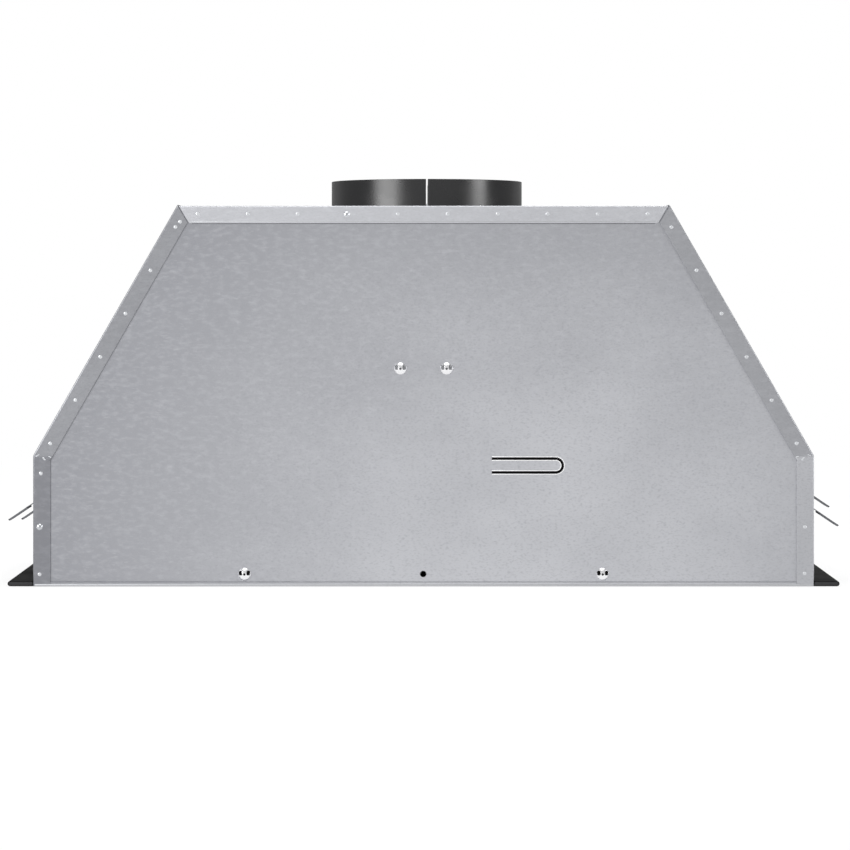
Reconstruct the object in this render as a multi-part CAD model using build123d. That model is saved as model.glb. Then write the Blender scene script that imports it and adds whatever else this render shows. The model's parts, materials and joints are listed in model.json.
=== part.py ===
"""A range hood insert: a galvanised blower housing on a black face pan.

The housing stands on its face pan. +X is to the right as the wall side is seen, +Y points
from the wall side towards the room and +Z is up. The origin is the middle of the underside.
All sizes are in millimetres.
"""

import math
import os

from build123d import *

# ---------------------------------------------------------------- housing and face pan
sheet = 0.8                     # galvanised and pan sheet
aperture_margin = 34.0          # grease filters' apertures to the housing's outside
housing_depth = 270.0
housing_height = 330.0
side_wall_height = 113.0        # upright part of each side, below the slope
top_width = 426.0
return_flange = 15.0            # strips of the side wraps turned over the panels
top_strip = 15.0                # strips of the top panel turned down over the panels
top_strip_corner = 2.5
flange_overhang = 22.0          # face pan past the housing at the sides and the front
hem_height = 4.4                # rolled edge of the face pan
hem_gap = 0.6                   # between the rolled edge's flat return and the housing
pan_corner_radius = 4.0
panel_hem = 4.0                 # folded bottom edge of the rear and front panels
pan_back_flange = 22.0          # upturned rear edge of the face pan
rear_notch_width = 16.0         # open notch in that edge, behind the rear panel's hole
full_round = 0.97               # share of a half thickness that a rolled edge's fillet takes
side_foot = 12.0                # side wraps' inward feet on the face pan
top_tab = 14.0                  # side wraps' inward tabs under the top panel
notch_width = 0.7               # cut in each return flange where the side bends
strip_gap = 0.4                 # between strips that meet
fold_radius = 1.2               # outside of the sheet's square folds
shoulder_radius = 4.0           # outside of the side wraps' bend between wall and slope

# ---------------------------------------------------------------- holes in the rear panel
stay_screw_pitch = 40.0
stay_screw_height = 188.2
pan_screw_pitch = 310.0
pan_screw_height = 10.3
rear_hole_radius = 2.5
tongue_start = 59.0             # lanced cable tongue, from the housing's middle
tongue_end = 121.0
tongue_height = 104.0
tongue_radius = 5.9
tongue_slit = 1.7
side_hole_radius = 2.5
side_hole_spacing = 140.0
side_hole_height = 30.0
side_hole_shift = -10.0

# ---------------------------------------------------------------- duct collar and damper
collar_shift = 3.0              # collar axis, right of the housing's middle
collar_setback = 145.0          # collar axis, in front of the wall side
collar_radius = 87.0
collar_wall = 1.0
collar_height = 25.4
collar_gap = 1.5                # between the two half rings
collar_foot = 12.0              # width of the half rings' feet
outlet_hole_radius = 80.0
rod_radius = 1.5
rod_lift = 1.8                  # rod axis above the top panel
rod_inset = 0.2                 # rod ends inside the collar's outside
pivot_clearance = 0.05
rest_clearance = 0.3            # running gap between pieces that move past each other
flap_sheet = 0.6
flap_edge_gap = 1.6             # between the flaps and the collar's bore
flap_middle_gap = 0.3
knuckle_wall = 0.6
knuckle_length = 24.0
knuckle_count = 5

# ---------------------------------------------------------------- blower
outlet_inside = 112.0           # square outlet of the scroll
impeller_radius = 64.0
impeller_end_gap = 6.0          # impeller to each scroll plate
impeller_ring = 6.0
impeller_ring_thickness = 1.5
blade_depth = 12.0
blade_thickness = 0.9
blade_lead = 9.0                # degrees that a blade's tip leads its root
blade_count = 30
hub_disc = 1.5
hub_radius = 12.0
hub_length = 22.0
impeller_axis_height = 175.0
scroll_start_radius = 72.0
scroll_step = 9.0               # growth of the scroll's radius at each quarter turn
scroll_lead = 4.0               # first centre in front of the impeller's axis
scroll_drop = 3.0               # and below it
cutoff_radius = 4.0
scroll_lip = 6.0                # scroll plates past the wrap
outlet_flange_width = 168.0
inlet_radius = 50.0
inlet_lip = 6.0
inlet_flange = 6.0
shaft_radius = 4.0
shaft_fit = 0.06
hub_fit = 0.02
nut_height = 6.5
nut_across_flats = 13.0
motor_radius = 40.0
motor_length = 58.0
motor_cap_length = 14.0
motor_cap_radius = 36.0
motor_boss_radius = 11.0
motor_boss_length = 5.0
motor_gap = 12.0                # scroll plate to the spider's middle
motor_edge_radius = 4.0
vent_count = 8
vent_width = 5.0
vent_depth = 3.0
spider_sheet = 1.2
spider_ring_radius = 30.0
spider_arm_width = 14.0
spider_foot_radius = 68.0
spider_arm_count = 3
stay_sheet = 1.5
stay_width = 70.0
stay_foot = 20.0
stay_bottom = 182.0

# ---------------------------------------------------------------- capacitor and wiring box
capacitor_radius = 18.0
capacitor_length = 62.0
capacitor_margin = 108.0        # capacitor's axis to the housing's left side
capacitor_bottom = 60.0
capacitor_edge_radius = 1.5
terminal_spacing = 12.0
terminal_sheet = 0.8
terminal_width = 6.0
terminal_height = 9.0
clamp_band = 1.2
clamp_width = 20.0
wiring_box_x = -150.0
wiring_box_setback = 201.0      # from the wall side to the box's middle
wiring_box_size = 70.0
wiring_box_height = 40.0
bushing_bore = 8.0
bushing_wall = 2.9
bushing_flange = 3.0
bushing_flange_height = 2.2
bushing_depth = 7.0

# ---------------------------------------------------------------- grease filters
aperture_width = 296.0
aperture_depth = 196.0
aperture_bar = 16.0             # pan sheet between the two apertures
aperture_setback = 30.0         # wall side to the apertures' rear edge
aperture_lip = 7.0
filter_gap = 2.0
filter_height = 14.0
filter_lift = 0.4               # filter face above the face pan's underside
filter_sheet = 0.8
filter_lower_lip = 12.0
filter_upper_lip = 8.0
baffle_sheet = 0.6
baffle_bend_radius = 1.8        # outside of a baffle's bends
baffle_width = 20.0
baffle_pitch = 28.0
lower_baffle_height = 7.0
upper_baffle_height = 8.6
tab_width = 30.0
tab_reach = 8.0
tab_spacing = 180.0
catch_width = 24.0
catch_sheet = 0.5
catch_reach = 2.0               # catch past the aperture's edge
catch_nose_lift = 2.6           # catch's nose over the pan sheet
catch_foot_gap = 0.5            # catch's lower end to the filter's wall
catch_foot_drop = 0.1           # and below the pan sheet's upper face
catch_root = 4.0                # length of the catch that lies on the filter's wall
cup_width = 60.0
cup_depth = 14.0
cup_height = 7.0
cup_rim = 3.0

# ---------------------------------------------------------------- controls and lamps
controls_setback = 247.5        # wall side to the row of buttons
button_count = 5
button_pitch = 24.0
button_radius = 6.0
button_edge_radius = 0.8
button_clearance = 0.3
button_face = 0.4               # buttons' faces above the underside
button_flange = 1.2
button_flange_height = 1.2
button_travel = 2.0
button_length = 8.6
bezel_width = 136.0
bezel_depth = 22.0
bezel_recess = 2.0
bezel_wall = 1.2
bezel_lip = 3.0
bezel_fit = 0.2
board_height = 14.0
board_thickness = 1.6
board_margin = 4.0
post_radius = 2.2
switch_size = 6.0
control_box_width = 160.0
control_box_depth = 37.0
control_box_height = 44.0
control_box_tab = 12.0
lamp_spacing = 380.0
lamp_radius = 17.0
lamp_wall = 1.5
lamp_lip = 3.0
lamp_height = 22.0
lamp_fin_count = 5
lamp_fin_gap = 2.0
lamp_fin_depth = 2.5
lens_thickness = 2.0
lens_edge_radius = 0.6
lens_lift = 0.6

# ---------------------------------------------------------------- side spring clips
clip_width = 30.0
clip_sheet = 0.6
clip_angle = 34.0               # leaf below the horizontal at rest
clip_eye_radius = 0.9
clip_hook = 1.2
clip_foot_height = 22.0
clip_rear_setback = 45.0        # wall side to the rear pair of clips
clip_front_setback = 125.0      # and to the front pair
left_rear_clip_height = 71.5
right_rear_clip_height = 66.5
left_front_clip_height = 65.5
right_front_clip_height = 79.0
clip_reach = 27.0
long_clip_reach = 30.5          # the right front clip is bent out further

# ---------------------------------------------------------------- fasteners
screw_head_radius = 4.75
screw_head_height = 2.6
screw_shank_radius = 2.0
screw_hole_radius = 2.2
screw_length = 8.0
small_head_radius = 3.2
small_head_height = 1.6
small_shank_radius = 1.6
small_hole_radius = 1.8
small_screw_length = 5.0
collar_screws_each = 3
stud_radius = 2.0
stud_height = 9.0
stud_hole_radius = 2.4
stud_spacing = 100.0
stud_count = 3
stud_nut_height = 3.2
stud_nut_across_flats = 7.0
rivet_head_radius = 2.8
rivet_head_height = 1.2
rivet_shank_radius = 1.6
rivet_spacing = 11.0

# ---------------------------------------------------------------- places worked out
half_width = aperture_width + aperture_bar / 2 + aperture_margin
half_top = top_width / 2
half_flange = half_width + flange_overhang
rear_y = -(housing_depth + flange_overhang) / 2         # outside of the wall side
front_y = rear_y + housing_depth                        # outside of the housing's front
pan_front_y = front_y + flange_overhang
rear_inner_y = rear_y + 2 * sheet                       # inside of the rear panel
front_inner_y = front_y - 2 * sheet
top_z = housing_height - sheet                          # upper face of the top panel
under_top_z = top_z - sheet
capacitor_x = capacitor_margin - half_width
collar_x = collar_shift
collar_y = rear_y + collar_setback
rod_z = top_z + rod_lift
slope_run = half_width - half_top
slope_rise = housing_height - side_wall_height
slope_length = math.hypot(slope_run, slope_rise)
slope_normal_x = slope_rise / slope_length
slope_normal_z = slope_run / slope_length


def bend_point(inset):
    """Where the right side's wall turns into its slope, this far inside the outline."""
    drop = inset * (1 - slope_normal_x) / slope_normal_z
    return half_width - inset, side_wall_height - drop


def peak_point(inset):
    """Where the right slope meets the top, this far inside the outline."""
    return half_top - inset * (1 - slope_normal_z) / slope_normal_x, housing_height - inset


def slope_x(height, inset=0.0):
    """How far out the right slope is at a height, this far inside the outline."""
    run = (housing_height - height) * slope_run / slope_rise
    return half_top + run - inset / slope_normal_x


# ---------------------------------------------------------------- shapes used throughout
def block(x0, x1, y0, y1, z0, z1):
    """A block between two corners."""
    centre = Pos((x0 + x1) / 2, (y0 + y1) / 2, (z0 + z1) / 2)
    return centre * Box(x1 - x0, y1 - y0, z1 - z0)


def plate_across(points, y0, y1):
    """A plate whose outline lies in X and Z, between two depths."""
    outline = make_face(Polyline(*[(x, y0, z) for x, z in points], close=True))
    return extrude(outline, amount=y1 - y0, dir=(0, 1, 0))


def plate_along(points, x0, x1):
    """A plate whose outline lies in Y and Z, between two widths."""
    outline = make_face(Polyline(*[(x0, y, z) for y, z in points], close=True))
    return extrude(outline, amount=x1 - x0, dir=(1, 0, 0))


def upright(x, y, z0, z1, radius):
    """A cylinder that stands along Z."""
    return Pos(x, y, (z0 + z1) / 2) * Cylinder(radius, z1 - z0)


def lengthwise(x, z, y0, y1, radius):
    """A cylinder that lies along Y."""
    return Pos(x, (y0 + y1) / 2, z) * Rot(90, 0, 0) * Cylinder(radius, y1 - y0)


def crosswise(y, z, x0, x1, radius):
    """A cylinder that lies along X."""
    return Pos((x0 + x1) / 2, y, z) * Rot(0, 90, 0) * Cylinder(radius, x1 - x0)


def mirrored(shape):
    """The same shape on the other side of the housing's middle."""
    return mirror(shape, about=Plane.YZ)


def joined(shapes):
    """Touching or crossing shapes as one solid."""
    whole = shapes[0]
    for shape in shapes[1:]:
        whole = whole + shape
    return whole


def pan_screw(head_radius, head_height, shank_radius, length):
    """A screw with its domed head on z = 0 and its shank below."""
    rise = head_height * 0.75
    dome = (head_radius**2 + rise**2) / (2 * rise)
    head = Cylinder(head_radius, 2 * head_height)
    head &= Pos(0, 0, head_height - dome) * Sphere(dome)
    head -= Pos(0, 0, -head_height) * Box(4 * head_radius, 4 * head_radius, 2 * head_height)
    shank = Pos(0, 0, -length / 2) * Cylinder(shank_radius, length)
    return head + shank


# ---------------------------------------------------------------- galvanised housing
def side_strip(y0, y1, bottom):
    """The right wrap's strip that is turned over one panel, cut where the side bends."""
    outer_bend = bend_point(0)
    inner_bend = bend_point(return_flange)
    strip = plate_across(
        [
            (half_width, bottom),
            outer_bend,
            peak_point(0),
            peak_point(return_flange),
            inner_bend,
            (half_width - return_flange, bottom),
        ],
        y0,
        y1,
    )
    tilt = math.degrees(math.atan2(outer_bend[1] - inner_bend[1], return_flange))
    length = math.hypot(return_flange, outer_bend[1] - inner_bend[1])
    cut = Box(length, 4 * sheet, notch_width)
    middle = Pos(inner_bend[0], (y0 + y1) / 2, inner_bend[1])
    return strip - middle * Rot(0, -tilt, 0) * Pos(length / 2 - 3 * sheet, 0, 0) * cut


def stud_places():
    """The places along Y of the studs that hold each side wrap's foot."""
    middle = (rear_y + front_y) / 2
    first = middle - stud_spacing * (stud_count - 1) / 2
    return [first + stud_spacing * step for step in range(stud_count)]


def side_holes():
    """The places along Y of the fixing holes in each side wall."""
    middle = (rear_y + front_y) / 2 + side_hole_shift
    return [middle - side_hole_spacing / 2, middle + side_hole_spacing / 2]


def clip_settings():
    """Each spring clip: name, side, place along Y, bend height and reach."""
    rear = rear_y + clip_rear_setback
    front = rear_y + clip_front_setback
    return [
        ("left_rear", -1, rear, left_rear_clip_height, clip_reach),
        ("right_rear", 1, rear, right_rear_clip_height, clip_reach),
        ("left_front", -1, front, left_front_clip_height, clip_reach),
        ("right_front", 1, front, right_front_clip_height, long_clip_reach),
    ]


def rivet_heights(bend_height):
    """The rivets' heights in a clip's foot."""
    middle = bend_height + clip_eye_radius + rest_clearance + clip_foot_height / 2
    return [middle - rivet_spacing / 2, middle + rivet_spacing / 2]


def folded(wrap):
    """The right wrap with its shoulder and its folds over both panels rounded."""
    shoulder_x, shoulder_z = bend_point(0)
    shoulder = [
        edge
        for edge in wrap.edges().filter_by(Axis.Y)
        if math.hypot(edge.center().X - shoulder_x, edge.center().Z - shoulder_z) < sheet / 4
    ]
    wrap = fillet(shoulder, shoulder_radius)
    lean_x = slope_run / slope_length
    lean_z = slope_rise / slope_length
    folds = []
    for edge in wrap.edges():
        middle = edge.center()
        at_panel = min(abs(middle.Y - rear_y), abs(middle.Y - front_y)) < sheet / 4
        off_slope = (middle.X - shoulder_x) * lean_z + (middle.Z - shoulder_z) * lean_x
        off_wall = middle.X - shoulder_x
        if at_panel and max(off_slope, off_wall) > -sheet / 2:
            folds.append(edge)
    return fillet(folds, fold_radius)


def side_wrap(side):
    """One side: upright wall, slope, strips over both panels, foot and top tab."""
    inner_bend = bend_point(sheet)
    skin = plate_across(
        [
            (half_width, sheet),
            bend_point(0),
            peak_point(0),
            (slope_x(housing_height, sheet), housing_height),
            inner_bend,
            (half_width - sheet, sheet),
        ],
        rear_y,
        front_y,
    )
    tab_low = under_top_z - sheet
    tab = plate_across(
        [
            (slope_x(tab_low) - top_tab, tab_low),
            (slope_x(tab_low, sheet / 2), tab_low),
            (slope_x(under_top_z, sheet / 2), under_top_z),
            (slope_x(tab_low) - top_tab, under_top_z),
        ],
        rear_inner_y,
        front_inner_y,
    )
    foot = block(
        half_width - side_foot,
        half_width - sheet / 2,
        rear_inner_y,
        front_inner_y,
        sheet,
        2 * sheet,
    )
    wrap = joined(
        [
            skin,
            side_strip(rear_y, rear_y + sheet, 0),
            side_strip(front_y - sheet, front_y, sheet),
            tab,
            foot,
        ]
    )
    wrap = folded(wrap)
    for y in stud_places():
        wrap -= upright(half_width - side_foot / 2, y, 0, 3 * sheet, stud_hole_radius)
    for y in side_holes():
        wrap -= crosswise(
            y, side_hole_height, half_width - 2 * sheet, half_width + sheet, side_hole_radius
        )
    for name, clip_side, y, bend_height, reach in clip_settings():
        if clip_side != side:
            continue
        for z in rivet_heights(bend_height):
            wrap -= crosswise(
                y, z, half_width - 2 * sheet, half_width + sheet, rivet_shank_radius
            )
    return wrap if side > 0 else mirrored(wrap)


def housing_panel(y0, y1, bottom):
    """A flat panel that fills the housing's outline inside the wraps."""
    right = [
        (half_width - sheet, bottom),
        bend_point(sheet),
        (slope_x(under_top_z, sheet), under_top_z),
    ]
    left = [(-x, z) for x, z in reversed(right)]
    return plate_across(right + left, y0, y1)


def tongue_cut():
    """The U-shaped slit round the lanced cable tongue."""
    middle_y = rear_y + sheet
    end_x = tongue_end - tongue_radius - tongue_slit / 2
    cut = None
    for radius in (tongue_radius + tongue_slit / 2, tongue_radius - tongue_slit / 2):
        shape = lengthwise(end_x, tongue_height, middle_y - sheet, middle_y + 2 * sheet, radius)
        shape += block(
            tongue_start,
            end_x,
            middle_y - sheet,
            middle_y + 2 * sheet,
            tongue_height - radius,
            tongue_height + radius,
        )
        cut = shape if cut is None else cut - shape
    return cut


def rear_panel():
    """The wall side: plain sheet with a folded bottom edge, screw holes and the tongue."""
    panel = housing_panel(rear_y + sheet, rear_inner_y, 0)
    hem_half = half_width - return_flange - strip_gap
    panel += block(-hem_half, hem_half, rear_y, rear_y + sheet, 0, panel_hem)
    for x in (-stay_screw_pitch / 2, stay_screw_pitch / 2):
        panel -= lengthwise(x, stay_screw_height, rear_y, rear_inner_y + sheet, screw_hole_radius)
    for x in (-pan_screw_pitch / 2, pan_screw_pitch / 2):
        panel -= lengthwise(x, pan_screw_height, rear_y, rear_inner_y + sheet, screw_hole_radius)
    panel -= lengthwise(0, pan_screw_height, rear_y, rear_inner_y + sheet, rear_hole_radius)
    return panel - tongue_cut()


def front_panel():
    """The room side: plain sheet that stands on the face pan."""
    panel = housing_panel(front_inner_y, front_y - sheet, sheet)
    hem_half = half_width - return_flange - strip_gap
    panel += block(-hem_half, hem_half, front_y - sheet, front_y, sheet, sheet + panel_hem)
    hole = lengthwise(
        capacitor_x, clamp_height(), front_inner_y - sheet, front_y + sheet, small_hole_radius
    )
    return panel - hole


def top_strip_plate(y0, y1):
    """The top panel's strip that is turned down over one panel, with mitred ends."""
    lean = (half_top - peak_point(top_strip)[0]) / top_strip
    upper = slope_x(housing_height, sheet) - strip_gap
    lower = upper - lean * top_strip
    low = top_z - top_strip
    right = [(lower, low), (upper, top_z)]
    left = [(-x, z) for x, z in reversed(right)]
    strip = plate_across(right + left, y0, y1)
    corners = strip.edges().filter_by(Axis.Y).sort_by(Axis.Z)[:2]
    return fillet(corners, top_strip_corner)


def collar_screw_places():
    """The collar screws' places on the top panel, from the collar's axis."""
    places = []
    ring = collar_radius + collar_foot / 2
    spread = 180 / collar_screws_each
    for half in (0, 180):
        for step in range(collar_screws_each):
            angle = math.radians(half - 90 + spread * (step + 0.5))
            places.append((ring * math.cos(angle), ring * math.sin(angle)))
    return places


def outlet_screw_places():
    """The outlet flange's screws, from the collar's axis."""
    reach = outlet_flange_width / 2 - 2 * small_head_radius
    return [(x, y) for x in (-reach, reach) for y in (-reach, reach)]


def top_panel():
    """The lid: outlet hole, turned-down strips, screw holes and the cable hole."""
    half = slope_x(housing_height, sheet) - strip_gap
    panel = block(-half, half, rear_y, front_y, under_top_z, top_z)
    panel += top_strip_plate(rear_y, rear_y + sheet)
    panel += top_strip_plate(front_y - sheet, front_y)
    folds = [
        edge
        for edge in panel.edges().filter_by(Axis.X)
        if min(abs(edge.center().Y - rear_y), abs(edge.center().Y - front_y)) < sheet / 4
        and abs(edge.center().Z - top_z) < sheet / 4
    ]
    panel = fillet(folds, fold_radius)
    panel -= upright(collar_x, collar_y, under_top_z - sheet, top_z + sheet, outlet_hole_radius)
    for x, y in collar_screw_places() + outlet_screw_places():
        panel -= upright(
            collar_x + x, collar_y + y, under_top_z - sheet, top_z + sheet, small_hole_radius
        )
    bushing_y = rear_y + wiring_box_setback
    hole = bushing_bore + bushing_wall + pivot_clearance
    return panel - upright(wiring_box_x, bushing_y, under_top_z - sheet, top_z + sheet, hole)


# ---------------------------------------------------------------- black face pan
def hemmed_slab(inset):
    """The face pan's outline with rolled edges, this far inside its outside."""
    side = half_flange - inset
    front = pan_front_y - inset
    slab = block(-side, side, rear_y, front, inset, hem_height - inset)
    corners = slab.edges().filter_by(Axis.Z).sort_by(Axis.Y)[-2:]
    slab = fillet(corners, pan_corner_radius - inset)
    faces = slab.faces().filter_by(Axis.Z)
    rolled = [edge for edge in faces.edges() if edge.center().Y > rear_y + sheet / 2]
    return fillet(rolled, (hem_height / 2 - inset) * full_round)


def aperture_middles():
    """The two apertures' middles along X."""
    reach = (aperture_width + aperture_bar) / 2
    return [-reach, reach]


def control_box_tabs():
    """The middles of the control box's tabs along X."""
    reach = (control_box_width + control_box_tab) / 2
    return [-reach, reach]


def lamp_places():
    """The lamps' middles along X."""
    return [-lamp_spacing / 2, lamp_spacing / 2]


def face_pan():
    """The black face: rolled edge, rear flange, apertures, lamp and control holes, studs."""
    controls_y = rear_y + controls_setback
    pan = hemmed_slab(0) - hemmed_slab(sheet)
    leg_x = half_width + hem_gap
    leg_y = front_y + hem_gap
    pan -= block(-leg_x, leg_x, rear_y - 1, leg_y, sheet, 2 * hem_height)
    pan -= block(-half_width, half_width, rear_y - 1, rear_inner_y, -1, 2 * hem_height)
    flange_half = half_width - return_flange
    pan += block(-flange_half, flange_half, rear_inner_y, rear_inner_y + sheet, 0, pan_back_flange)
    for x in (-pan_screw_pitch / 2, pan_screw_pitch / 2):
        pan -= lengthwise(x, pan_screw_height, rear_y, rear_inner_y + 2 * sheet, screw_hole_radius)
    pan -= block(
        -rear_notch_width / 2,
        rear_notch_width / 2,
        rear_y,
        rear_inner_y + 2 * sheet,
        hem_height,
        2 * pan_back_flange,
    )
    low = rear_y + aperture_setback
    high = low + aperture_depth
    for middle in aperture_middles():
        left = middle - aperture_width / 2
        right = middle + aperture_width / 2
        pan -= block(left, right, low, high, -1, 2 * sheet)
        for x in (left - sheet, right):
            pan += block(x, x + sheet, low, high, 0, sheet + aperture_lip)
    cut_x = bezel_width / 2 + bezel_fit
    cut_y = bezel_depth / 2 + bezel_fit
    pan -= block(-cut_x, cut_x, controls_y - cut_y, controls_y + cut_y, -1, 2 * sheet)
    for x in lamp_places():
        pan -= upright(x, controls_y, -1, 2 * sheet, lamp_radius + bezel_fit)
    for x in control_box_tabs():
        pan += upright(x, controls_y, sheet / 2, stud_height, stud_radius)
    for side in (-1, 1):
        for y in stud_places():
            x = side * (half_width - side_foot / 2)
            pan += upright(x, y, sheet / 2, stud_height, stud_radius)
    return pan


# ---------------------------------------------------------------- duct collar and damper
def collar_half(side):
    """Half of the duct collar with its screwed-down foot."""
    foot_top = top_z + collar_wall
    ring = upright(collar_x, collar_y, top_z, top_z + collar_height, collar_radius)
    ring += upright(collar_x, collar_y, top_z, foot_top, collar_radius + collar_foot)
    bore = collar_radius - collar_wall
    ring -= upright(collar_x, collar_y, top_z - 1, top_z + collar_height + 1, bore)
    reach = collar_radius + 2 * collar_foot
    near = collar_x + side * (collar_gap / 2)
    far = collar_x + side * reach
    keep = block(
        min(near, far),
        max(near, far),
        collar_y - reach,
        collar_y + reach,
        top_z - 1,
        top_z + collar_height + 1,
    )
    half = ring & keep
    half -= lengthwise(
        collar_x, rod_z, collar_y - reach, collar_y + reach, rod_radius + pivot_clearance
    )
    for x, y in collar_screw_places():
        half -= upright(collar_x + x, collar_y + y, top_z - 1, foot_top + 1, small_hole_radius)
    return half


def damper_rod():
    """The rod that both flaps turn on, held between the collar halves."""
    reach = collar_radius - rod_inset
    return lengthwise(collar_x, rod_z, collar_y - reach, collar_y + reach, rod_radius)


def damper_flap(side):
    """A half-round flap with rolled knuckles that alternate with the other flap's."""
    low = rod_z - rod_radius
    disc_radius = collar_radius - collar_wall - flap_edge_gap
    plate = upright(collar_x, collar_y, low, low + flap_sheet, disc_radius)
    near = collar_x + side * flap_middle_gap
    far = collar_x + side * collar_radius
    plate &= block(
        min(near, far),
        max(near, far),
        collar_y - collar_radius,
        collar_y + collar_radius,
        low - 1,
        rod_z,
    )
    bore = rod_radius + pivot_clearance
    knuckle_radius = bore + knuckle_wall
    plate -= lengthwise(
        collar_x, rod_z, collar_y - collar_radius, collar_y + collar_radius, bore
    )
    first = collar_y - knuckle_length * knuckle_count / 2
    own = 0 if side > 0 else 1
    for step in range(knuckle_count):
        start = first + step * knuckle_length
        end = start + knuckle_length
        if step % 2 == own:
            knuckle = lengthwise(
                collar_x, rod_z, start + rest_clearance, end - rest_clearance, knuckle_radius
            )
            plate += knuckle
        else:
            cut = knuckle_radius + rest_clearance
            plate -= lengthwise(collar_x, rod_z, start, end, cut)
    bore_cut = lengthwise(
        collar_x, rod_z, collar_y - collar_radius, collar_y + collar_radius, bore
    )
    return plate - bore_cut


# ---------------------------------------------------------------- blower
impeller_half = outlet_inside / 2 - impeller_end_gap
outlet_rear_y = collar_y - outlet_inside / 2            # inside of the outlet's rear wall
scroll_reach = scroll_start_radius + 3 * scroll_step - scroll_lead
axis_y = outlet_rear_y + scroll_reach                   # impeller axis
axis_z = impeller_axis_height
blower_top_z = under_top_z - sheet                      # under the outlet flange
plate_offset = outlet_inside / 2                        # inner face of a scroll plate
blower = Plane(origin=(collar_x, axis_y, axis_z), x_dir=(0, 1, 0), z_dir=(1, 0, 0))
motor_face = plate_offset + sheet + motor_gap           # from the impeller's middle


def scroll_face(grow):
    """The scroll's air space seen along the axis, grown by this much."""
    first_y = scroll_lead
    first_z = -scroll_drop
    radius_one = scroll_start_radius
    radius_two = radius_one + scroll_step
    radius_three = radius_two + scroll_step
    centre_two = (first_y - scroll_step, first_z)
    centre_three = (first_y - scroll_step, first_z + scroll_step)
    rear = centre_three[0] - radius_three
    throat = rear + outlet_inside
    cutoff_z = first_z + math.sqrt(radius_one**2 - (throat - first_y) ** 2)
    top = blower_top_z - axis_z
    start_angle = math.degrees(math.atan2(cutoff_z - first_z, throat - first_y))
    outline = [
        Line((rear, centre_three[1]), (rear, top)),
        Line((rear, top), (throat, top)),
        Line((throat, top), (throat, cutoff_z)),
        CenterArc((first_y, first_z), radius_one, start_angle, -start_angle),
        CenterArc(centre_two, radius_two, 0, -90),
        CenterArc(centre_three, radius_three, -90, -90),
    ]
    face = make_face(outline)
    cutoff = [v for v in face.vertices() if abs(v.Y - cutoff_z) < 1e-3]
    face = fillet(cutoff, cutoff_radius)
    if grow:
        face = offset(face, amount=grow, kind=Kind.ARC)
    return face


def below_outlet(shape):
    """A blower piece cut off level with the outlet flange's underside."""
    size = 4 * scroll_start_radius
    top = blower_top_z - axis_z
    return shape - Pos(0, top + size / 2, 0) * Box(2 * size, size, 2 * size)


def scroll_wrap():
    """The scroll's curved wall."""
    wall = scroll_face(sheet) - scroll_face(0)
    length = 2 * plate_offset
    wrap = extrude(Pos(0, 0, -plate_offset) * wall, amount=length, dir=(0, 0, 1))
    return blower * below_outlet(wrap)


def scroll_plate(side):
    """One flat side of the scroll, with its inlet hole."""
    hole = inlet_radius + inlet_lip
    face = scroll_face(scroll_lip) - Circle(hole)
    start = plate_offset if side > 0 else -plate_offset - sheet
    plate = extrude(Pos(0, 0, start) * face, amount=sheet, dir=(0, 0, 1))
    return blower * below_outlet(plate)


def inlet_ring(side):
    """A rounded inlet that guides the air into the impeller's eye."""
    outer = plate_offset + 2 * sheet
    bend = inlet_radius + inlet_lip
    centre_w = outer - inlet_lip
    middle = math.sqrt(0.5)
    inner_lip = inlet_lip - sheet
    flange_edge = bend + inlet_flange
    profile = make_face(
        [
            Line((flange_edge, outer), (bend, outer)),
            ThreePointArc(
                (bend, outer),
                (bend - inlet_lip * middle, centre_w + inlet_lip * middle),
                (inlet_radius, centre_w),
            ),
            Line((inlet_radius, centre_w), (inlet_radius + sheet, centre_w)),
            ThreePointArc(
                (inlet_radius + sheet, centre_w),
                (bend - inner_lip * middle, centre_w + inner_lip * middle),
                (bend, outer - sheet),
            ),
            Line((bend, outer - sheet), (flange_edge, outer - sheet)),
            Line((flange_edge, outer - sheet), (flange_edge, outer)),
        ]
    )
    ring = revolve(Plane.XZ * profile, axis=Axis.Z)
    if side < 0:
        ring = mirror(ring, about=Plane.XY)
    return blower * ring


def blade_face():
    """One forward-curved blade seen along the axis."""
    root = impeller_radius - blade_depth
    middle = impeller_radius - blade_depth / 2
    tip = impeller_radius
    turn = math.degrees(blade_thickness / middle)

    def point(radius, degrees):
        angle = math.radians(degrees)
        return radius * math.cos(angle), radius * math.sin(angle)

    inner = [point(root, 0), point(middle, blade_lead * 0.24), point(tip, blade_lead)]
    outer = [
        point(root, turn),
        point(middle, blade_lead * 0.24 + turn),
        point(tip, blade_lead + turn),
    ]
    return make_face(
        [
            ThreePointArc(*inner),
            Line(inner[2], outer[2]),
            ThreePointArc(*reversed(outer)),
            Line(outer[0], inner[0]),
        ]
    )


def impeller():
    """The squirrel-cage wheel: blades, end rings, middle disc and hub."""
    blades = Sketch() + [Rot(0, 0, 360 * n / blade_count) * blade_face() for n in range(blade_count)]
    wheel = extrude(Pos(0, 0, -impeller_half) * blades, amount=2 * impeller_half, dir=(0, 0, 1))
    for start in (-impeller_half, impeller_half - impeller_ring_thickness):
        ring = Circle(impeller_radius) - Circle(impeller_radius - impeller_ring)
        wheel += extrude(Pos(0, 0, start) * ring, amount=impeller_ring_thickness, dir=(0, 0, 1))
    disc_radius = impeller_radius - blade_depth / 2
    wheel += Cylinder(disc_radius, hub_disc)
    wheel += Cylinder(hub_radius, hub_length)
    wheel -= Cylinder(shaft_radius + hub_fit, 2 * hub_length)
    return blower * wheel


def along_axis(start, end, radius):
    """A cylinder on the impeller's axis, between two distances from its middle."""
    return blower * (Pos(0, 0, (start + end) / 2) * Cylinder(radius, end - start))


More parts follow.
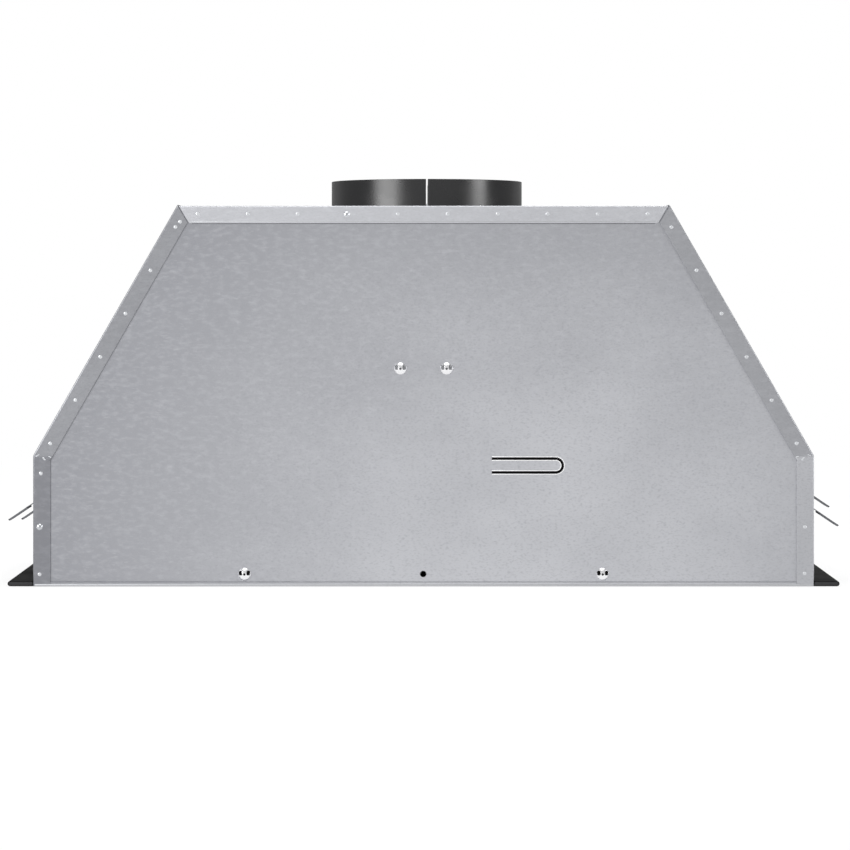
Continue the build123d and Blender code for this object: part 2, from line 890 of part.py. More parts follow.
def motor_shaft():
    """The motor's shaft, which carries the impeller."""
    start = -motor_face - spider_sheet - motor_length + 2 * motor_edge_radius
    end = hub_length / 2 + nut_height + shaft_radius
    return along_axis(start, end, shaft_radius)


def impeller_nut():
    """The hexagon nut that holds the impeller on the shaft."""
    hexagon = RegularPolygon(nut_across_flats / 2, 6, major_radius=False)
    hexagon -= Circle(shaft_radius + hub_fit)
    nut = extrude(Pos(0, 0, hub_length / 2) * hexagon, amount=nut_height, dir=(0, 0, 1))
    return blower * nut


def motor_can():
    """The motor's drawn can, closed at its outer end, with vent slots round it."""
    near = -motor_face - spider_sheet - motor_cap_length
    far = -motor_face - spider_sheet - motor_length
    can = Pos(0, 0, (near + far) / 2) * Cylinder(motor_radius, near - far)
    can = fillet(can.edges().sort_by(Axis.Z)[0], motor_edge_radius)
    slot_length = (near - far) / 2
    for step in range(vent_count):
        slot = Pos(motor_radius, 0, (near + far) / 2) * Box(2 * vent_depth, vent_width, slot_length)
        can -= Rot(0, 0, 360 * step / vent_count) * slot
    bore_end = far + 2 * motor_edge_radius - rest_clearance
    bore = Pos(0, 0, (near + 1 + bore_end) / 2) * Cylinder(
        shaft_radius + shaft_fit, near + 1 - bore_end
    )
    return blower * (can - bore)


def motor_cap():
    """The motor's end cap, with the bearing boss that the shaft comes out of."""
    near = -motor_face - spider_sheet
    far = near - motor_cap_length
    cap = Pos(0, 0, (near + far) / 2) * Cone(motor_radius, motor_cap_radius, motor_cap_length)
    boss = Pos(0, 0, near + motor_boss_length / 2) * Cylinder(motor_boss_radius, motor_boss_length)
    bore = Pos(0, 0, near) * Cylinder(shaft_radius + shaft_fit, 4 * motor_cap_length)
    return blower * (cap + boss - bore)


def motor_spider():
    """The three-armed bracket that carries the motor in front of the left inlet."""
    face = -motor_face
    ring = Circle(spider_ring_radius) - Circle(motor_boss_radius + rest_clearance)
    foot_end = spider_foot_radius + inlet_flange
    plate_side = -plate_offset - sheet
    spider = extrude(Pos(0, 0, face - spider_sheet) * ring, amount=spider_sheet, dir=(0, 0, 1))
    half_arm = spider_arm_width / 2
    inner = spider_ring_radius - 2
    for step in range(spider_arm_count):
        arm = block(inner, spider_foot_radius, -half_arm, half_arm, face - spider_sheet, face)
        arm += block(
            spider_foot_radius - spider_sheet,
            spider_foot_radius,
            -half_arm,
            half_arm,
            face - spider_sheet,
            plate_side,
        )
        arm += block(
            spider_foot_radius - spider_sheet,
            foot_end,
            -half_arm,
            half_arm,
            plate_side - spider_sheet,
            plate_side,
        )
        spider += Rot(0, 0, 90 + 360 * step / spider_arm_count) * arm
    return blower * spider


def outlet_flange():
    """The square frame that joins the scroll's outlet to the top panel."""
    outer = outlet_flange_width
    frame = Rectangle(outer, outer) - Rectangle(outlet_inside, outlet_inside)
    for x, y in collar_screw_places() + outlet_screw_places():
        frame -= Pos(x, y) * Circle(small_hole_radius)
    return Pos(collar_x, collar_y, blower_top_z) * extrude(frame, amount=sheet)


def stay_bracket():
    """The bracket between the rear panel and the scroll's flat rear wall."""
    near = outlet_rear_y - sheet
    half = stay_width / 2
    top = stay_bottom + stay_foot
    stay = plate_along(
        [
            (rear_inner_y, stay_bottom),
            (near, stay_bottom),
            (near, top),
            (near - stay_sheet, top),
            (near - stay_sheet, stay_bottom + stay_sheet),
            (rear_inner_y + stay_sheet, stay_bottom + stay_sheet),
            (rear_inner_y + stay_sheet, top),
            (rear_inner_y, top),
        ],
        -half,
        half,
    )
    for x in (-stay_screw_pitch / 2, stay_screw_pitch / 2):
        stay -= lengthwise(x, stay_screw_height, rear_y, rear_y + 10 * sheet, screw_hole_radius)
    return stay


# ---------------------------------------------------------------- capacitor and wiring box
def clamp_height():
    """The height of the capacitor clamp's middle."""
    return capacitor_bottom + capacitor_length / 2


def capacitor_y():
    """The capacitor's place along Y, beside the front panel."""
    return front_inner_y - clamp_band - capacitor_radius - pivot_clearance


def capacitor():
    """The motor's run capacitor, with two tab terminals."""
    top = capacitor_bottom + capacitor_length
    y = capacitor_y()
    body = upright(capacitor_x, y, capacitor_bottom, top, capacitor_radius)
    body = fillet(body.edges().filter_by(GeomType.CIRCLE), capacitor_edge_radius)
    for x in (capacitor_x - terminal_spacing / 2, capacitor_x + terminal_spacing / 2):
        body += block(
            x - terminal_sheet / 2,
            x + terminal_sheet / 2,
            y - terminal_width / 2,
            y + terminal_width / 2,
            top - terminal_sheet,
            top + terminal_height,
        )
    return body


def capacitor_clamp():
    """The band that holds the capacitor against the front panel."""
    y = capacitor_y()
    low = clamp_height() - clamp_width / 2
    high = clamp_height() + clamp_width / 2
    inner = capacitor_radius + pivot_clearance
    band = upright(capacitor_x, y, low, high, inner + clamp_band)
    back = front_inner_y - clamp_band
    band += block(capacitor_x - inner, capacitor_x + inner, back, front_inner_y, low, high)
    return band - upright(capacitor_x, y, low - 1, high + 1, inner)


def wiring_box():
    """The small box under the top panel where the supply is joined."""
    y = rear_y + wiring_box_setback
    half = wiring_box_size / 2
    low = under_top_z - wiring_box_height
    box = block(wiring_box_x - half, wiring_box_x + half, y - half, y + half, low, under_top_z)
    inner = half - sheet
    box -= block(
        wiring_box_x - inner,
        wiring_box_x + inner,
        y - inner,
        y + inner,
        low + sheet,
        under_top_z + 1,
    )
    return box


def cable_bushing():
    """The snap bushing in the cable hole."""
    y = rear_y + wiring_box_setback
    radius = bushing_bore + bushing_wall
    bushing = upright(wiring_box_x, y, top_z - bushing_depth, top_z, radius)
    flange = upright(
        wiring_box_x, y, top_z, top_z + bushing_flange_height, radius + bushing_flange
    )
    flange = fillet(flange.edges().sort_by(Axis.Z)[-1], bushing_flange_height / 2)
    top = top_z + bushing_flange_height + 1
    return bushing + flange - upright(wiring_box_x, y, top_z - 2 * bushing_depth, top, bushing_bore)


# ---------------------------------------------------------------- grease filters
filter_rear_y = rear_y + aperture_setback + filter_gap
filter_front_y = rear_y + aperture_setback + aperture_depth - filter_gap
filter_width = aperture_width - 2 * filter_gap
filter_top = filter_lift + filter_height


def filter_frame(middle):
    """A C-section frame with two rear tabs over the pan and a finger slot in front."""
    left = middle - filter_width / 2
    right = middle + filter_width / 2
    frame = block(left, right, filter_rear_y, filter_front_y, filter_lift, filter_top)
    frame = fillet(frame.edges(), fold_radius)
    frame -= block(
        left + filter_sheet,
        right - filter_sheet,
        filter_rear_y + filter_sheet,
        filter_front_y - filter_sheet,
        filter_lift + filter_sheet,
        filter_top - filter_sheet,
    )
    for lip, low, high in (
        (filter_lower_lip, filter_lift - 1, filter_lift + 2 * filter_sheet),
        (filter_upper_lip, filter_top - 2 * filter_sheet, filter_top + 1),
    ):
        front_lip = cup_lip() if lip == filter_lower_lip else lip
        frame -= block(
            left + lip, right - lip, filter_rear_y + lip, filter_front_y - front_lip, low, high
        )
    tab_low = sheet + rest_clearance
    for shift in (-tab_spacing / 2, tab_spacing / 2):
        frame += block(
            middle + shift - tab_width / 2,
            middle + shift + tab_width / 2,
            filter_rear_y - filter_gap - tab_reach,
            filter_rear_y + filter_sheet / 2,
            tab_low,
            tab_low + filter_sheet,
        )
    return frame - finger_slot(middle)


def cup_lip():
    """The width of the filter's front lip, which carries the finger cup."""
    return cup_depth + 4 * cup_rim


def cup_middle_y():
    """The finger cup's place along Y."""
    return filter_front_y - filter_sheet - cup_rim - cup_depth / 2 - cup_rim / 2


def finger_slot(middle):
    """The hole in the front lip where fingers reach into the cup."""
    y = cup_middle_y()
    slot = Pos(middle, y, filter_lift) * extrude(
        SlotOverall(cup_width, cup_depth), amount=2 * filter_sheet, both=True
    )
    return slot


def filter_cup(middle):
    """The drawn cup behind the finger slot, with its rim on the lip."""
    y = cup_middle_y()
    low = filter_lift + filter_sheet
    outer = extrude(
        SlotOverall(cup_width + 2 * filter_sheet, cup_depth + 2 * filter_sheet),
        amount=cup_height,
    )
    rim = extrude(SlotOverall(cup_width + 2 * cup_rim, cup_depth + 2 * cup_rim), amount=filter_sheet)
    inner = extrude(SlotOverall(cup_width, cup_depth), amount=cup_height - filter_sheet)
    return Pos(middle, y, low) * (outer + rim - inner)


def channel(middle, width, low, high, opens_up, rear, front):
    """One bent baffle strip: a channel with rounded bends that opens up or down."""
    web_z = low if opens_up else high
    rise = high - low if opens_up else low - high
    turn = math.copysign(1, rise)

    def profile(inset):
        """Its outline or its hollow: a rectangle with round corners at the web."""
        half = width / 2 - inset
        base = web_z + turn * inset
        end = web_z + rise + turn * 2 * inset
        outline = make_face(
            Polyline(
                (middle - half, rear, base),
                (middle + half, rear, base),
                (middle + half, rear, end),
                (middle - half, rear, end),
                close=True,
            )
        )
        corners = [vertex for vertex in outline.vertices() if abs(vertex.Z - base) < 1e-3]
        return fillet(corners, baffle_bend_radius - inset)

    return extrude(profile(0) - profile(baffle_sheet), amount=front - rear, dir=(0, 1, 0))


def baffle_rows(middle, shift):
    """The middles of a filter's baffles, shifted for the upper row."""
    clear = filter_width - 2 * filter_sheet - baffle_width
    count = int(clear // baffle_pitch) + 1
    if shift:
        count -= 1
    first = middle - baffle_pitch * (count - 1) / 2
    return [first + baffle_pitch * step for step in range(count)]


def lower_baffles(middle):
    """The lower row of baffles, which opens upwards and drains the grease."""
    low = filter_lift + filter_sheet
    rear = filter_rear_y + filter_sheet + pivot_clearance
    front = filter_front_y - cup_lip() + filter_sheet
    rows = [
        channel(x, baffle_width, low, low + lower_baffle_height, True, rear, front)
        for x in baffle_rows(middle, False)
    ]
    return Compound(children=rows)


def upper_baffles(middle):
    """The upper row of baffles, turned over the gaps of the lower row."""
    high = filter_top - filter_sheet
    rear = filter_rear_y + filter_sheet + pivot_clearance
    front = filter_front_y - filter_sheet - pivot_clearance
    rows = [
        channel(x, baffle_width, high - upper_baffle_height, high, False, rear, front)
        for x in baffle_rows(middle, True)
    ]
    cup_y = cup_middle_y()
    room = block(
        middle - cup_width / 2 - 2 * cup_rim,
        middle + cup_width / 2 + 2 * cup_rim,
        cup_y - cup_depth / 2 - 2 * cup_rim,
        filter_front_y,
        0,
        filter_lift + filter_sheet + cup_height + rest_clearance,
    )
    return Compound(children=[row - room for row in rows])


def filter_catch(middle):
    """The leaf that snaps past the aperture's front edge."""
    wall = filter_front_y
    nose = wall + filter_gap + catch_reach
    nose_z = sheet + catch_nose_lift
    foot = wall + catch_foot_gap
    foot_z = sheet - catch_foot_drop
    top = filter_top - filter_sheet
    bend = top - catch_root
    lean = catch_sheet * 1.25
    leaf = plate_along(
        [
            (wall, top),
            (wall, bend),
            (nose - lean, nose_z),
            (foot, foot_z),
            (foot + lean, foot_z),
            (nose, nose_z),
            (wall + catch_sheet, bend),
            (wall + catch_sheet, top),
        ],
        middle - catch_width / 2,
        middle + catch_width / 2,
    )
    return leaf


# ---------------------------------------------------------------- controls and lamps
def button_places():
    """The buttons' middles along X."""
    first = -button_pitch * (button_count - 1) / 2
    return [first + button_pitch * step for step in range(button_count)]


def button_bezel():
    """The recessed plastic tray round the buttons, with posts for the switch board."""
    y = rear_y + controls_setback
    half_x = bezel_width / 2
    half_y = bezel_depth / 2
    floor_top = bezel_recess + bezel_wall
    tray = block(-half_x, half_x, y - half_y, y + half_y, 0, floor_top)
    tray += block(
        -half_x - bezel_lip,
        half_x + bezel_lip,
        y - half_y - bezel_lip,
        y + half_y + bezel_lip,
        sheet,
        sheet + bezel_wall,
    )
    inner_x = half_x - bezel_wall
    inner_y = half_y - bezel_wall
    tray -= block(-inner_x, inner_x, y - inner_y, y + inner_y, -1, bezel_recess)
    for x in button_places():
        tray -= upright(x, y, 0, 2 * floor_top, button_radius + button_clearance)
    for x in (-half_x + board_margin, half_x - board_margin):
        for shift in (-half_y + post_radius, half_y - post_radius):
            tray += upright(x, y + shift, sheet + bezel_wall / 2, board_height, post_radius)
    return tray


def push_button(x):
    """A round push button with a retaining flange and a stem to its switch."""
    y = rear_y + controls_setback
    top = button_face + button_length
    flange_low = bezel_recess + bezel_wall + rest_clearance
    cap = upright(x, y, button_face, flange_low, button_radius)
    cap = fillet(cap.edges().filter_by(GeomType.CIRCLE).sort_by(Axis.Z)[0], button_edge_radius)
    cap += upright(
        x, y, flange_low, flange_low + button_flange_height, button_radius + button_flange
    )
    return cap + upright(x, y, flange_low, top, button_radius / 3)


def switch_board():
    """The circuit board on the bezel's posts, with a push switch over each button."""
    y = rear_y + controls_setback
    half_x = bezel_width / 2 - board_margin + post_radius
    half_y = bezel_depth / 2
    top = board_height + board_thickness
    board = block(-half_x, half_x, y - half_y, y + half_y, board_height, top)
    low = button_face + button_length + button_travel + rest_clearance
    half = switch_size / 2
    for x in button_places():
        board += block(x - half, x + half, y - half, y + half, low, board_height)
    board += block(-button_pitch, button_pitch, y - half, y + half, top, top + 2 * switch_size)
    return board


def control_box():
    """The sheet cover over the controls, with a tab at each end."""
    y = rear_y + controls_setback
    half_x = control_box_width / 2
    half_y = control_box_depth / 2
    box = block(-half_x, half_x, y - half_y, y + half_y, sheet, control_box_height)
    inner_x = half_x - sheet
    inner_y = half_y - sheet
    box -= block(-inner_x, inner_x, y - inner_y, y + inner_y, 0, control_box_height - sheet)
    for x in control_box_tabs():
        tab = block(
            x - control_box_tab / 2,
            x + control_box_tab / 2,
            y - half_y / 2,
            y + half_y / 2,
            sheet,
            2 * sheet,
        )
        box += tab
    for x in control_box_tabs():
        box -= upright(x, y, 0, 4 * sheet, stud_hole_radius)
    return box


def lamp_housing(x):
    """A lamp's finned aluminium body, clipped in from above."""
    y = rear_y + controls_setback
    body = upright(x, y, 0, lamp_height, lamp_radius)
    body += upright(x, y, sheet, sheet + lamp_wall, lamp_radius + lamp_lip)
    lens_top = lens_lift + lens_thickness
    body -= upright(x, y, -1, lens_top, lamp_radius - lamp_wall)
    pitch = (lamp_height - 2 * lamp_wall - lens_top) / lamp_fin_count
    core = lamp_radius - lamp_fin_depth
    for step in range(lamp_fin_count):
        low = lens_top + lamp_wall + step * pitch
        groove = upright(x, y, low, low + lamp_fin_gap, 2 * lamp_radius)
        groove -= upright(x, y, low - 1, low + lamp_fin_gap + 1, core)
        body -= groove
    return body


def lamp_lens(x):
    """A lamp's frosted lens, with a gently rounded edge."""
    y = rear_y + controls_setback
    radius = lamp_radius - lamp_wall - pivot_clearance
    lens = upright(x, y, lens_lift, lens_lift + lens_thickness, radius)
    return fillet(lens.edges().filter_by(GeomType.CIRCLE).sort_by(Axis.Z)[0], lens_edge_radius)


# ---------------------------------------------------------------- side spring clips
def clip_axis_x(side):
    """Where a clip's leaf turns, just outside the side wall."""
    return side * (half_width + rest_clearance + clip_eye_radius)


def clip_leaf(side, y, bend_height, reach):
    """A clip's leaf: rolled root, straight blade that slants down, and hooked tip."""
    angle = math.radians(clip_angle)
    axis = clip_axis_x(1)
    length = (half_width + reach - axis) / math.cos(angle)
    blade = block(0, length, -clip_width / 2, clip_width / 2, -clip_sheet / 2, clip_sheet / 2)
    leaf = Rot(0, clip_angle, 0) * blade
    leaf += Rot(90, 0, 0) * Cylinder(clip_eye_radius, clip_width)
    tip_x = length * math.cos(angle)
    tip_z = -length * math.sin(angle)
    half_sheet = clip_sheet / 2
    leaf += block(
        tip_x - clip_sheet,
        tip_x,
        -clip_width / 2,
        clip_width / 2,
        tip_z - clip_hook,
        tip_z + half_sheet,
    )
    leaf = Pos(axis, y, bend_height) * leaf
    return leaf if side > 0 else mirrored(leaf)


def clip_feet():
    """The clips' feet, riveted to the side walls above the leaves."""
    feet = []
    for name, side, y, bend_height, reach in clip_settings():
        low = bend_height + clip_eye_radius + rest_clearance
        foot = block(
            half_width,
            half_width + sheet,
            y - clip_width / 2,
            y + clip_width / 2,
            low,
            low + clip_foot_height,
        )
        for z in rivet_heights(bend_height):
            foot -= crosswise(y, z, half_width - 1, half_width + 2 * sheet, rivet_shank_radius)
        feet.append(foot if side > 0 else mirrored(foot))
    return Compound(children=feet)


def clip_rivets():
    """The blind rivets through the clips' feet and the side walls."""
    rivets = []
    for name, side, y, bend_height, reach in clip_settings():
        for z in rivet_heights(bend_height):
            outer = half_width + sheet
            inner = half_width - sheet
            shank = rivet_shank_radius - hub_fit
            rivet = crosswise(y, z, inner - rivet_head_height, outer, shank)
            rivet += crosswise(y, z, outer, outer + rivet_head_height, rivet_head_radius)
            rivet += crosswise(y, z, inner - rivet_head_height, inner, rivet_head_radius)
            rivets.append(rivet if side > 0 else mirrored(rivet))
    return Compound(children=rivets)


# ---------------------------------------------------------------- fasteners
def rear_screws():
    """The four domed screws in the rear panel: two for the stay and two for the pan."""
    face = rear_y + sheet
    screws = []
    for x, z in (
        (-stay_screw_pitch / 2, stay_screw_height),
        (stay_screw_pitch / 2, stay_screw_height),
        (-pan_screw_pitch / 2, pan_screw_height),
        (pan_screw_pitch / 2, pan_screw_height),
    ):
        screw = pan_screw(screw_head_radius, screw_head_height, screw_shank_radius, screw_length)
        screws.append(Pos(x, face, z) * Rot(90, 0, 0) * screw)
    return Compound(children=screws)


def small_screw():
    """A small domed screw with its head on z = 0."""
    return pan_screw(
        small_head_radius, small_head_height, small_shank_radius, small_screw_length
    )


def collar_screws():
    """The screws through the collar's feet."""
    foot_top = top_z + collar_wall
    return Compound(
        children=[
            Pos(collar_x + x, collar_y + y, foot_top) * small_screw()
            for x, y in collar_screw_places()
        ]
    )


def blower_screws():
    """The screws that hang the scroll's outlet flange from the top panel."""
    return Compound(
        children=[
            Pos(collar_x + x, collar_y + y, top_z) * small_screw()
            for x, y in outlet_screw_places()
        ]
    )


def pan_nuts():
    """The nuts that hold the side wraps and the control box on the pan's studs."""
    nuts = []
    hexagon = RegularPolygon(stud_nut_across_flats / 2, 6, major_radius=False)
    nut = extrude(hexagon - Circle(stud_radius + hub_fit), amount=stud_nut_height)
    for side in (-1, 1):
        for y in stud_places():
            nuts.append(Pos(side * (half_width - side_foot / 2), y, 2 * sheet) * nut)
    for x in control_box_tabs():
        nuts.append(Pos(x, rear_y + controls_setback, 2 * sheet) * nut)
    return Compound(children=nuts)


# ---------------------------------------------------------------- the whole insert
def build():
    """Every piece of the insert, by name."""
    pieces = {
        "rear_panel": rear_panel(),
        "front_panel": front_panel(),
        "left_side_wrap": side_wrap(-1),
        "right_side_wrap": side_wrap(1),
        "top_panel": top_panel(),
        "face_pan": face_pan(),
        "left_collar_half": collar_half(-1),
        "right_collar_half": collar_half(1),
        "damper_rod": damper_rod(),
        "left_damper_flap": damper_flap(-1),
        "right_damper_flap": damper_flap(1),
        "scroll_wrap": scroll_wrap(),
        "left_scroll_plate": scroll_plate(-1),
        "right_scroll_plate": scroll_plate(1),
        "left_inlet_ring": inlet_ring(-1),
        "right_inlet_ring": inlet_ring(1),
        "outlet_flange": outlet_flange(),
        "impeller": impeller(),
        "motor_shaft": motor_shaft(),
        "impeller_nut": impeller_nut(),
        "motor_can": motor_can(),
        "motor_cap": motor_cap(),
        "motor_spider": motor_spider(),
        "stay_bracket": stay_bracket(),
        "capacitor": capacitor(),
        "capacitor_clamp": capacitor_clamp(),
        "wiring_box": wiring_box(),
        "cable_bushing": cable_bushing(),
        "button_bezel": button_bezel(),
        "switch_board": switch_board(),
        "control_box": control_box(),
        "clip_feet": clip_feet(),
        "clip_rivets": clip_rivets(),
        "rear_screws": rear_screws(),
        "collar_screws": collar_screws(),
        "blower_screws": blower_screws(),
        "pan_nuts": pan_nuts(),
    }
    for side, middle in zip(("left", "right"), aperture_middles()):
        pieces[side + "_filter_frame"] = filter_frame(middle)
        pieces[side + "_lower_baffles"] = lower_baffles(middle)
        pieces[side + "_upper_baffles"] = upper_baffles(middle)
        pieces[side + "_filter_cup"] = filter_cup(middle)
        pieces[side + "_filter_catch"] = filter_catch(middle)
    for side, x in zip(("left", "right"), lamp_places()):
        pieces[side + "_lamp_housing"] = lamp_housing(x)
        pieces[side + "_lamp_lens"] = lamp_lens(x)
    names = ("light", "high_speed", "medium_speed", "low_speed", "power")
    for name, x in zip(names, button_places()):
        pieces[name + "_button"] = push_button(x)
    for name, side, y, bend_height, reach in clip_settings():
        pieces[name + "_clip"] = clip_leaf(side, y, bend_height, reach)
    return pieces


os.makedirs("parts", exist_ok=True)
for node, piece in build().items():
    export_step(piece, "parts/" + node + ".step")
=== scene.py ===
"""Looks of a galvanised range hood insert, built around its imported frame.

Lengths are in metres unless a name ends in mm. +X is to the right as the wall side is seen,
+Y runs from the wall side towards the room and +Z is up. The underside lies at z = 0.
"""

import json
import logging
import math
from dataclasses import dataclass
from enum import Enum
from typing import Callable, Sequence

import bpy
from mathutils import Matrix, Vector

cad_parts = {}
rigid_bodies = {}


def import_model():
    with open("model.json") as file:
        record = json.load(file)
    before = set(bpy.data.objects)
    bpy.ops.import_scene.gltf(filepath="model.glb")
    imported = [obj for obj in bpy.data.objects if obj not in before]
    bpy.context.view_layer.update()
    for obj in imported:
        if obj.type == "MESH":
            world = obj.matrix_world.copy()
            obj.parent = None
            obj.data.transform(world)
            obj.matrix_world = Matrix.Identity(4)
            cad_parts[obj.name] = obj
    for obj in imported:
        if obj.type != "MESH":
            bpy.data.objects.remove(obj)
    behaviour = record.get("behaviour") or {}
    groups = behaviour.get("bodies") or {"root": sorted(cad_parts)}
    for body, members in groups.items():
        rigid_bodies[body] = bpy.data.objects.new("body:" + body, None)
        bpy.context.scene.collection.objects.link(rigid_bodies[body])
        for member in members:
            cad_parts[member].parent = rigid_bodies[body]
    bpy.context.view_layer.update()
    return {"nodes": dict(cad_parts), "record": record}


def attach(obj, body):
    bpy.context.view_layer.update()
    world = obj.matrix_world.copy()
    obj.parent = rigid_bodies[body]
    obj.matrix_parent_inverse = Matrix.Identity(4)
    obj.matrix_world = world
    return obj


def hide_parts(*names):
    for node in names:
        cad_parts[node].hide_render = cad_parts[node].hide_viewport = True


LOG = logging.getLogger("hood_insert")
MM = 0.001

REAR_Y = -0.146                 # outside of the turned strips on the wall side
FRONT_Y = 0.124                 # outside of the turned strips on the room side
PANEL_INSET = 0.8 * MM          # from the turned strips in to the large panels
TOP_Z = 0.3292                  # upper face of the top panel
COLLAR_X = 0.003
COLLAR_Y = -0.001
DOUBLE = 1e-6                   # vertices closer than this are merged
NEAR = 1e-5                     # reach within which an edge counts as lying at a place

Place = tuple[float, float]     # X and Z on a large side
Point = tuple[float, float, float]
Tree = bpy.types.NodeTree
Node = bpy.types.Node
Socket = bpy.types.NodeSocket
Piece = bpy.types.Object


# ------------------------------------------------------------------ small shared tools
def linear(code: str) -> tuple[float, float, float, float]:
    """Turns an sRGB colour to the linear one that shaders take.

    Args:
        code: Six hex digits, as in "a4a5a9".

    Returns:
        Red, green, blue and an alpha of one.
    """
    parts = [int(code[at:at + 2], 16) / 255 for at in (0, 2, 4)]
    red, green, blue = (
        part / 12.92 if part <= 0.04045 else ((part + 0.055) / 1.055) ** 2.4 for part in parts
    )
    return red, green, blue, 1.0


def add_node(
    tree: Tree, kind: str, links: dict[int | str, Socket] | None = None,
    values: dict[int | str, object] | None = None, **settings: object,
) -> Node:
    """Adds one shader node.

    Args:
        tree: The tree that it goes into.
        kind: The node's type, without its "ShaderNode" prefix.
        links: Source sockets for its inputs, by name or number.
        values: Constants for its inputs, by name or number.
        **settings: The node's own properties.

    Returns:
        The new node.
    """
    node = tree.nodes.new("ShaderNode" + kind)
    for name, setting in settings.items():
        setattr(node, name, setting)
    for key, value in (values or {}).items():
        node.inputs[key].default_value = value
    for key, source in (links or {}).items():
        tree.links.new(source, node.inputs[key])
    return node


def deselect() -> None:
    """Leaves edit mode and deselects every object."""
    if bpy.context.object and bpy.context.object.mode != "OBJECT":
        bpy.ops.object.mode_set(mode="OBJECT")
    bpy.ops.object.select_all(action="DESELECT")


def take(*objects: Piece) -> None:
    """Selects only these objects.

    Args:
        *objects: What to select. The first one becomes active.
    """
    deselect()
    for piece in objects:
        piece.select_set(True)
    bpy.context.view_layer.objects.active = objects[0]


def primitive(kind: str, name: str, **sizes: object) -> Piece:
    """Adds a mesh primitive with nothing else selected.

    Args:
        kind: The primitive, such as "cylinder".
        name: The new object's name.
        **sizes: What the operator takes, sizes and places in metres.

    Returns:
        The new object, selected and active.
    """
    deselect()
    getattr(bpy.ops.mesh, f"primitive_{kind}_add")(**sizes)
    piece = bpy.context.object
    piece.name = name
    piece.data.name = name
    return piece


def edit_all(piece: Piece) -> None:
    """Opens edit mode with everything selected.

    Args:
        piece: The object to edit.
    """
    take(piece)
    bpy.ops.object.mode_set(mode="EDIT")
    bpy.ops.mesh.select_all(action="SELECT")


def edit_where(piece: Piece, kind: str, test: Callable[[Vector, Vector], bool]) -> None:
    """Opens edit mode with some of a piece's faces or edges selected.

    Args:
        piece: The object to edit.
        kind: What is selected, "FACE" or "EDGE".
        test: Says it from a face's centre and normal, or from an edge's two ends.
    """
    take(piece)
    bpy.ops.object.mode_set(mode="EDIT")
    bpy.ops.mesh.select_mode(type=kind)
    bpy.ops.mesh.select_all(action="DESELECT")
    leave_edit()
    if kind == "FACE":
        for face in piece.data.polygons:
            face.select = test(face.center, face.normal)
    else:
        places = [vertex.co for vertex in piece.data.vertices]
        for edge in piece.data.edges:
            edge.select = test(places[edge.vertices[0]], places[edge.vertices[1]])
    bpy.ops.object.mode_set(mode="EDIT")


def leave_edit() -> None:
    """Goes back to object mode."""
    bpy.ops.object.mode_set(mode="OBJECT")


def modify(piece: Piece, kind: str, **settings: object) -> None:
    """Adds one modifier with its settings and applies it.

    Args:
        piece: The object that it works on.
        kind: The modifier's type, such as "BEVEL".
        **settings: The modifier's properties.
    """
    take(piece)
    modifier = piece.modifiers.new(kind.title(), kind)
    for name, setting in settings.items():
        setattr(modifier, name, setting)
    bpy.ops.object.modifier_apply(modifier=modifier.name)


def smooth(piece: Piece, degrees: float = 40.0) -> None:
    """Shades a piece smooth, apart from its edges that are sharper than the angle."""
    take(piece)
    bpy.ops.object.shade_smooth_by_angle(angle=math.radians(degrees))


def settle(piece: Piece) -> None:
    """Puts a piece's place, turn and scale into its mesh."""
    take(piece)
    bpy.ops.object.transform_apply(location=True, rotation=True, scale=True)


def face_outwards(piece: Piece) -> None:
    """Merges doubles and turns all faces outwards.

    Args:
        piece: The object to mend.
    """
    edit_all(piece)
    bpy.ops.mesh.remove_doubles(threshold=DOUBLE)
    bpy.ops.mesh.normals_make_consistent(inside=False)
    leave_edit()


def copy_to(piece: Piece, name: str, place: Point, turn: Point = (0.0, 0.0, 0.0)) -> Piece:
    """Copies a piece with a mesh of its own.

    Args:
        piece: What to copy.
        name: The copy's name.
        place: Where the copy goes.
        turn: Its turn about X, Y and Z in degrees.

    Returns:
        The copy, with its place in its mesh.
    """
    take(piece)
    bpy.ops.object.duplicate()
    copy = bpy.context.object
    copy.name = name
    copy.rotation_euler = [math.radians(angle) for angle in turn]
    copy.location = place
    settle(copy)
    return copy


def join_all(pieces: Sequence[Piece], name: str) -> Piece:
    """Joins pieces into one object.

    Args:
        pieces: One piece or more.
        name: What the whole is called.

    Returns:
        The joined object.
    """
    take(*pieces)
    if len(pieces) > 1:
        bpy.ops.object.join()
    joined = bpy.context.object
    joined.name = name
    joined.data.name = name
    return joined


def discard(*pieces: Piece) -> None:
    """Deletes helper objects."""
    take(*pieces)
    bpy.ops.object.delete()


def cut_with(piece: Piece, cutter: Piece) -> None:
    """Cuts one closed piece out of another and deletes the cutter."""
    modify(piece, "BOOLEAN", operation="DIFFERENCE", solver="EXACT", object=cutter)
    discard(cutter)


def arc(centre: Place, radius: float, start: float, end: float, steps: int) -> list[Place]:
    """Works out places along an arc on a large side.

    Args:
        centre: The arc's centre in X and Z.
        radius: Its radius.
        start: Its first turn in degrees, from +X towards +Z.
        end: Its last turn.
        steps: How many equal parts it has.

    Returns:
        The places, one more than the parts.
    """
    turns = [math.radians(start + (end - start) * step / steps) for step in range(steps + 1)]
    return [
        (centre[0] + radius * math.cos(turn), centre[1] + radius * math.sin(turn))
        for turn in turns
    ]


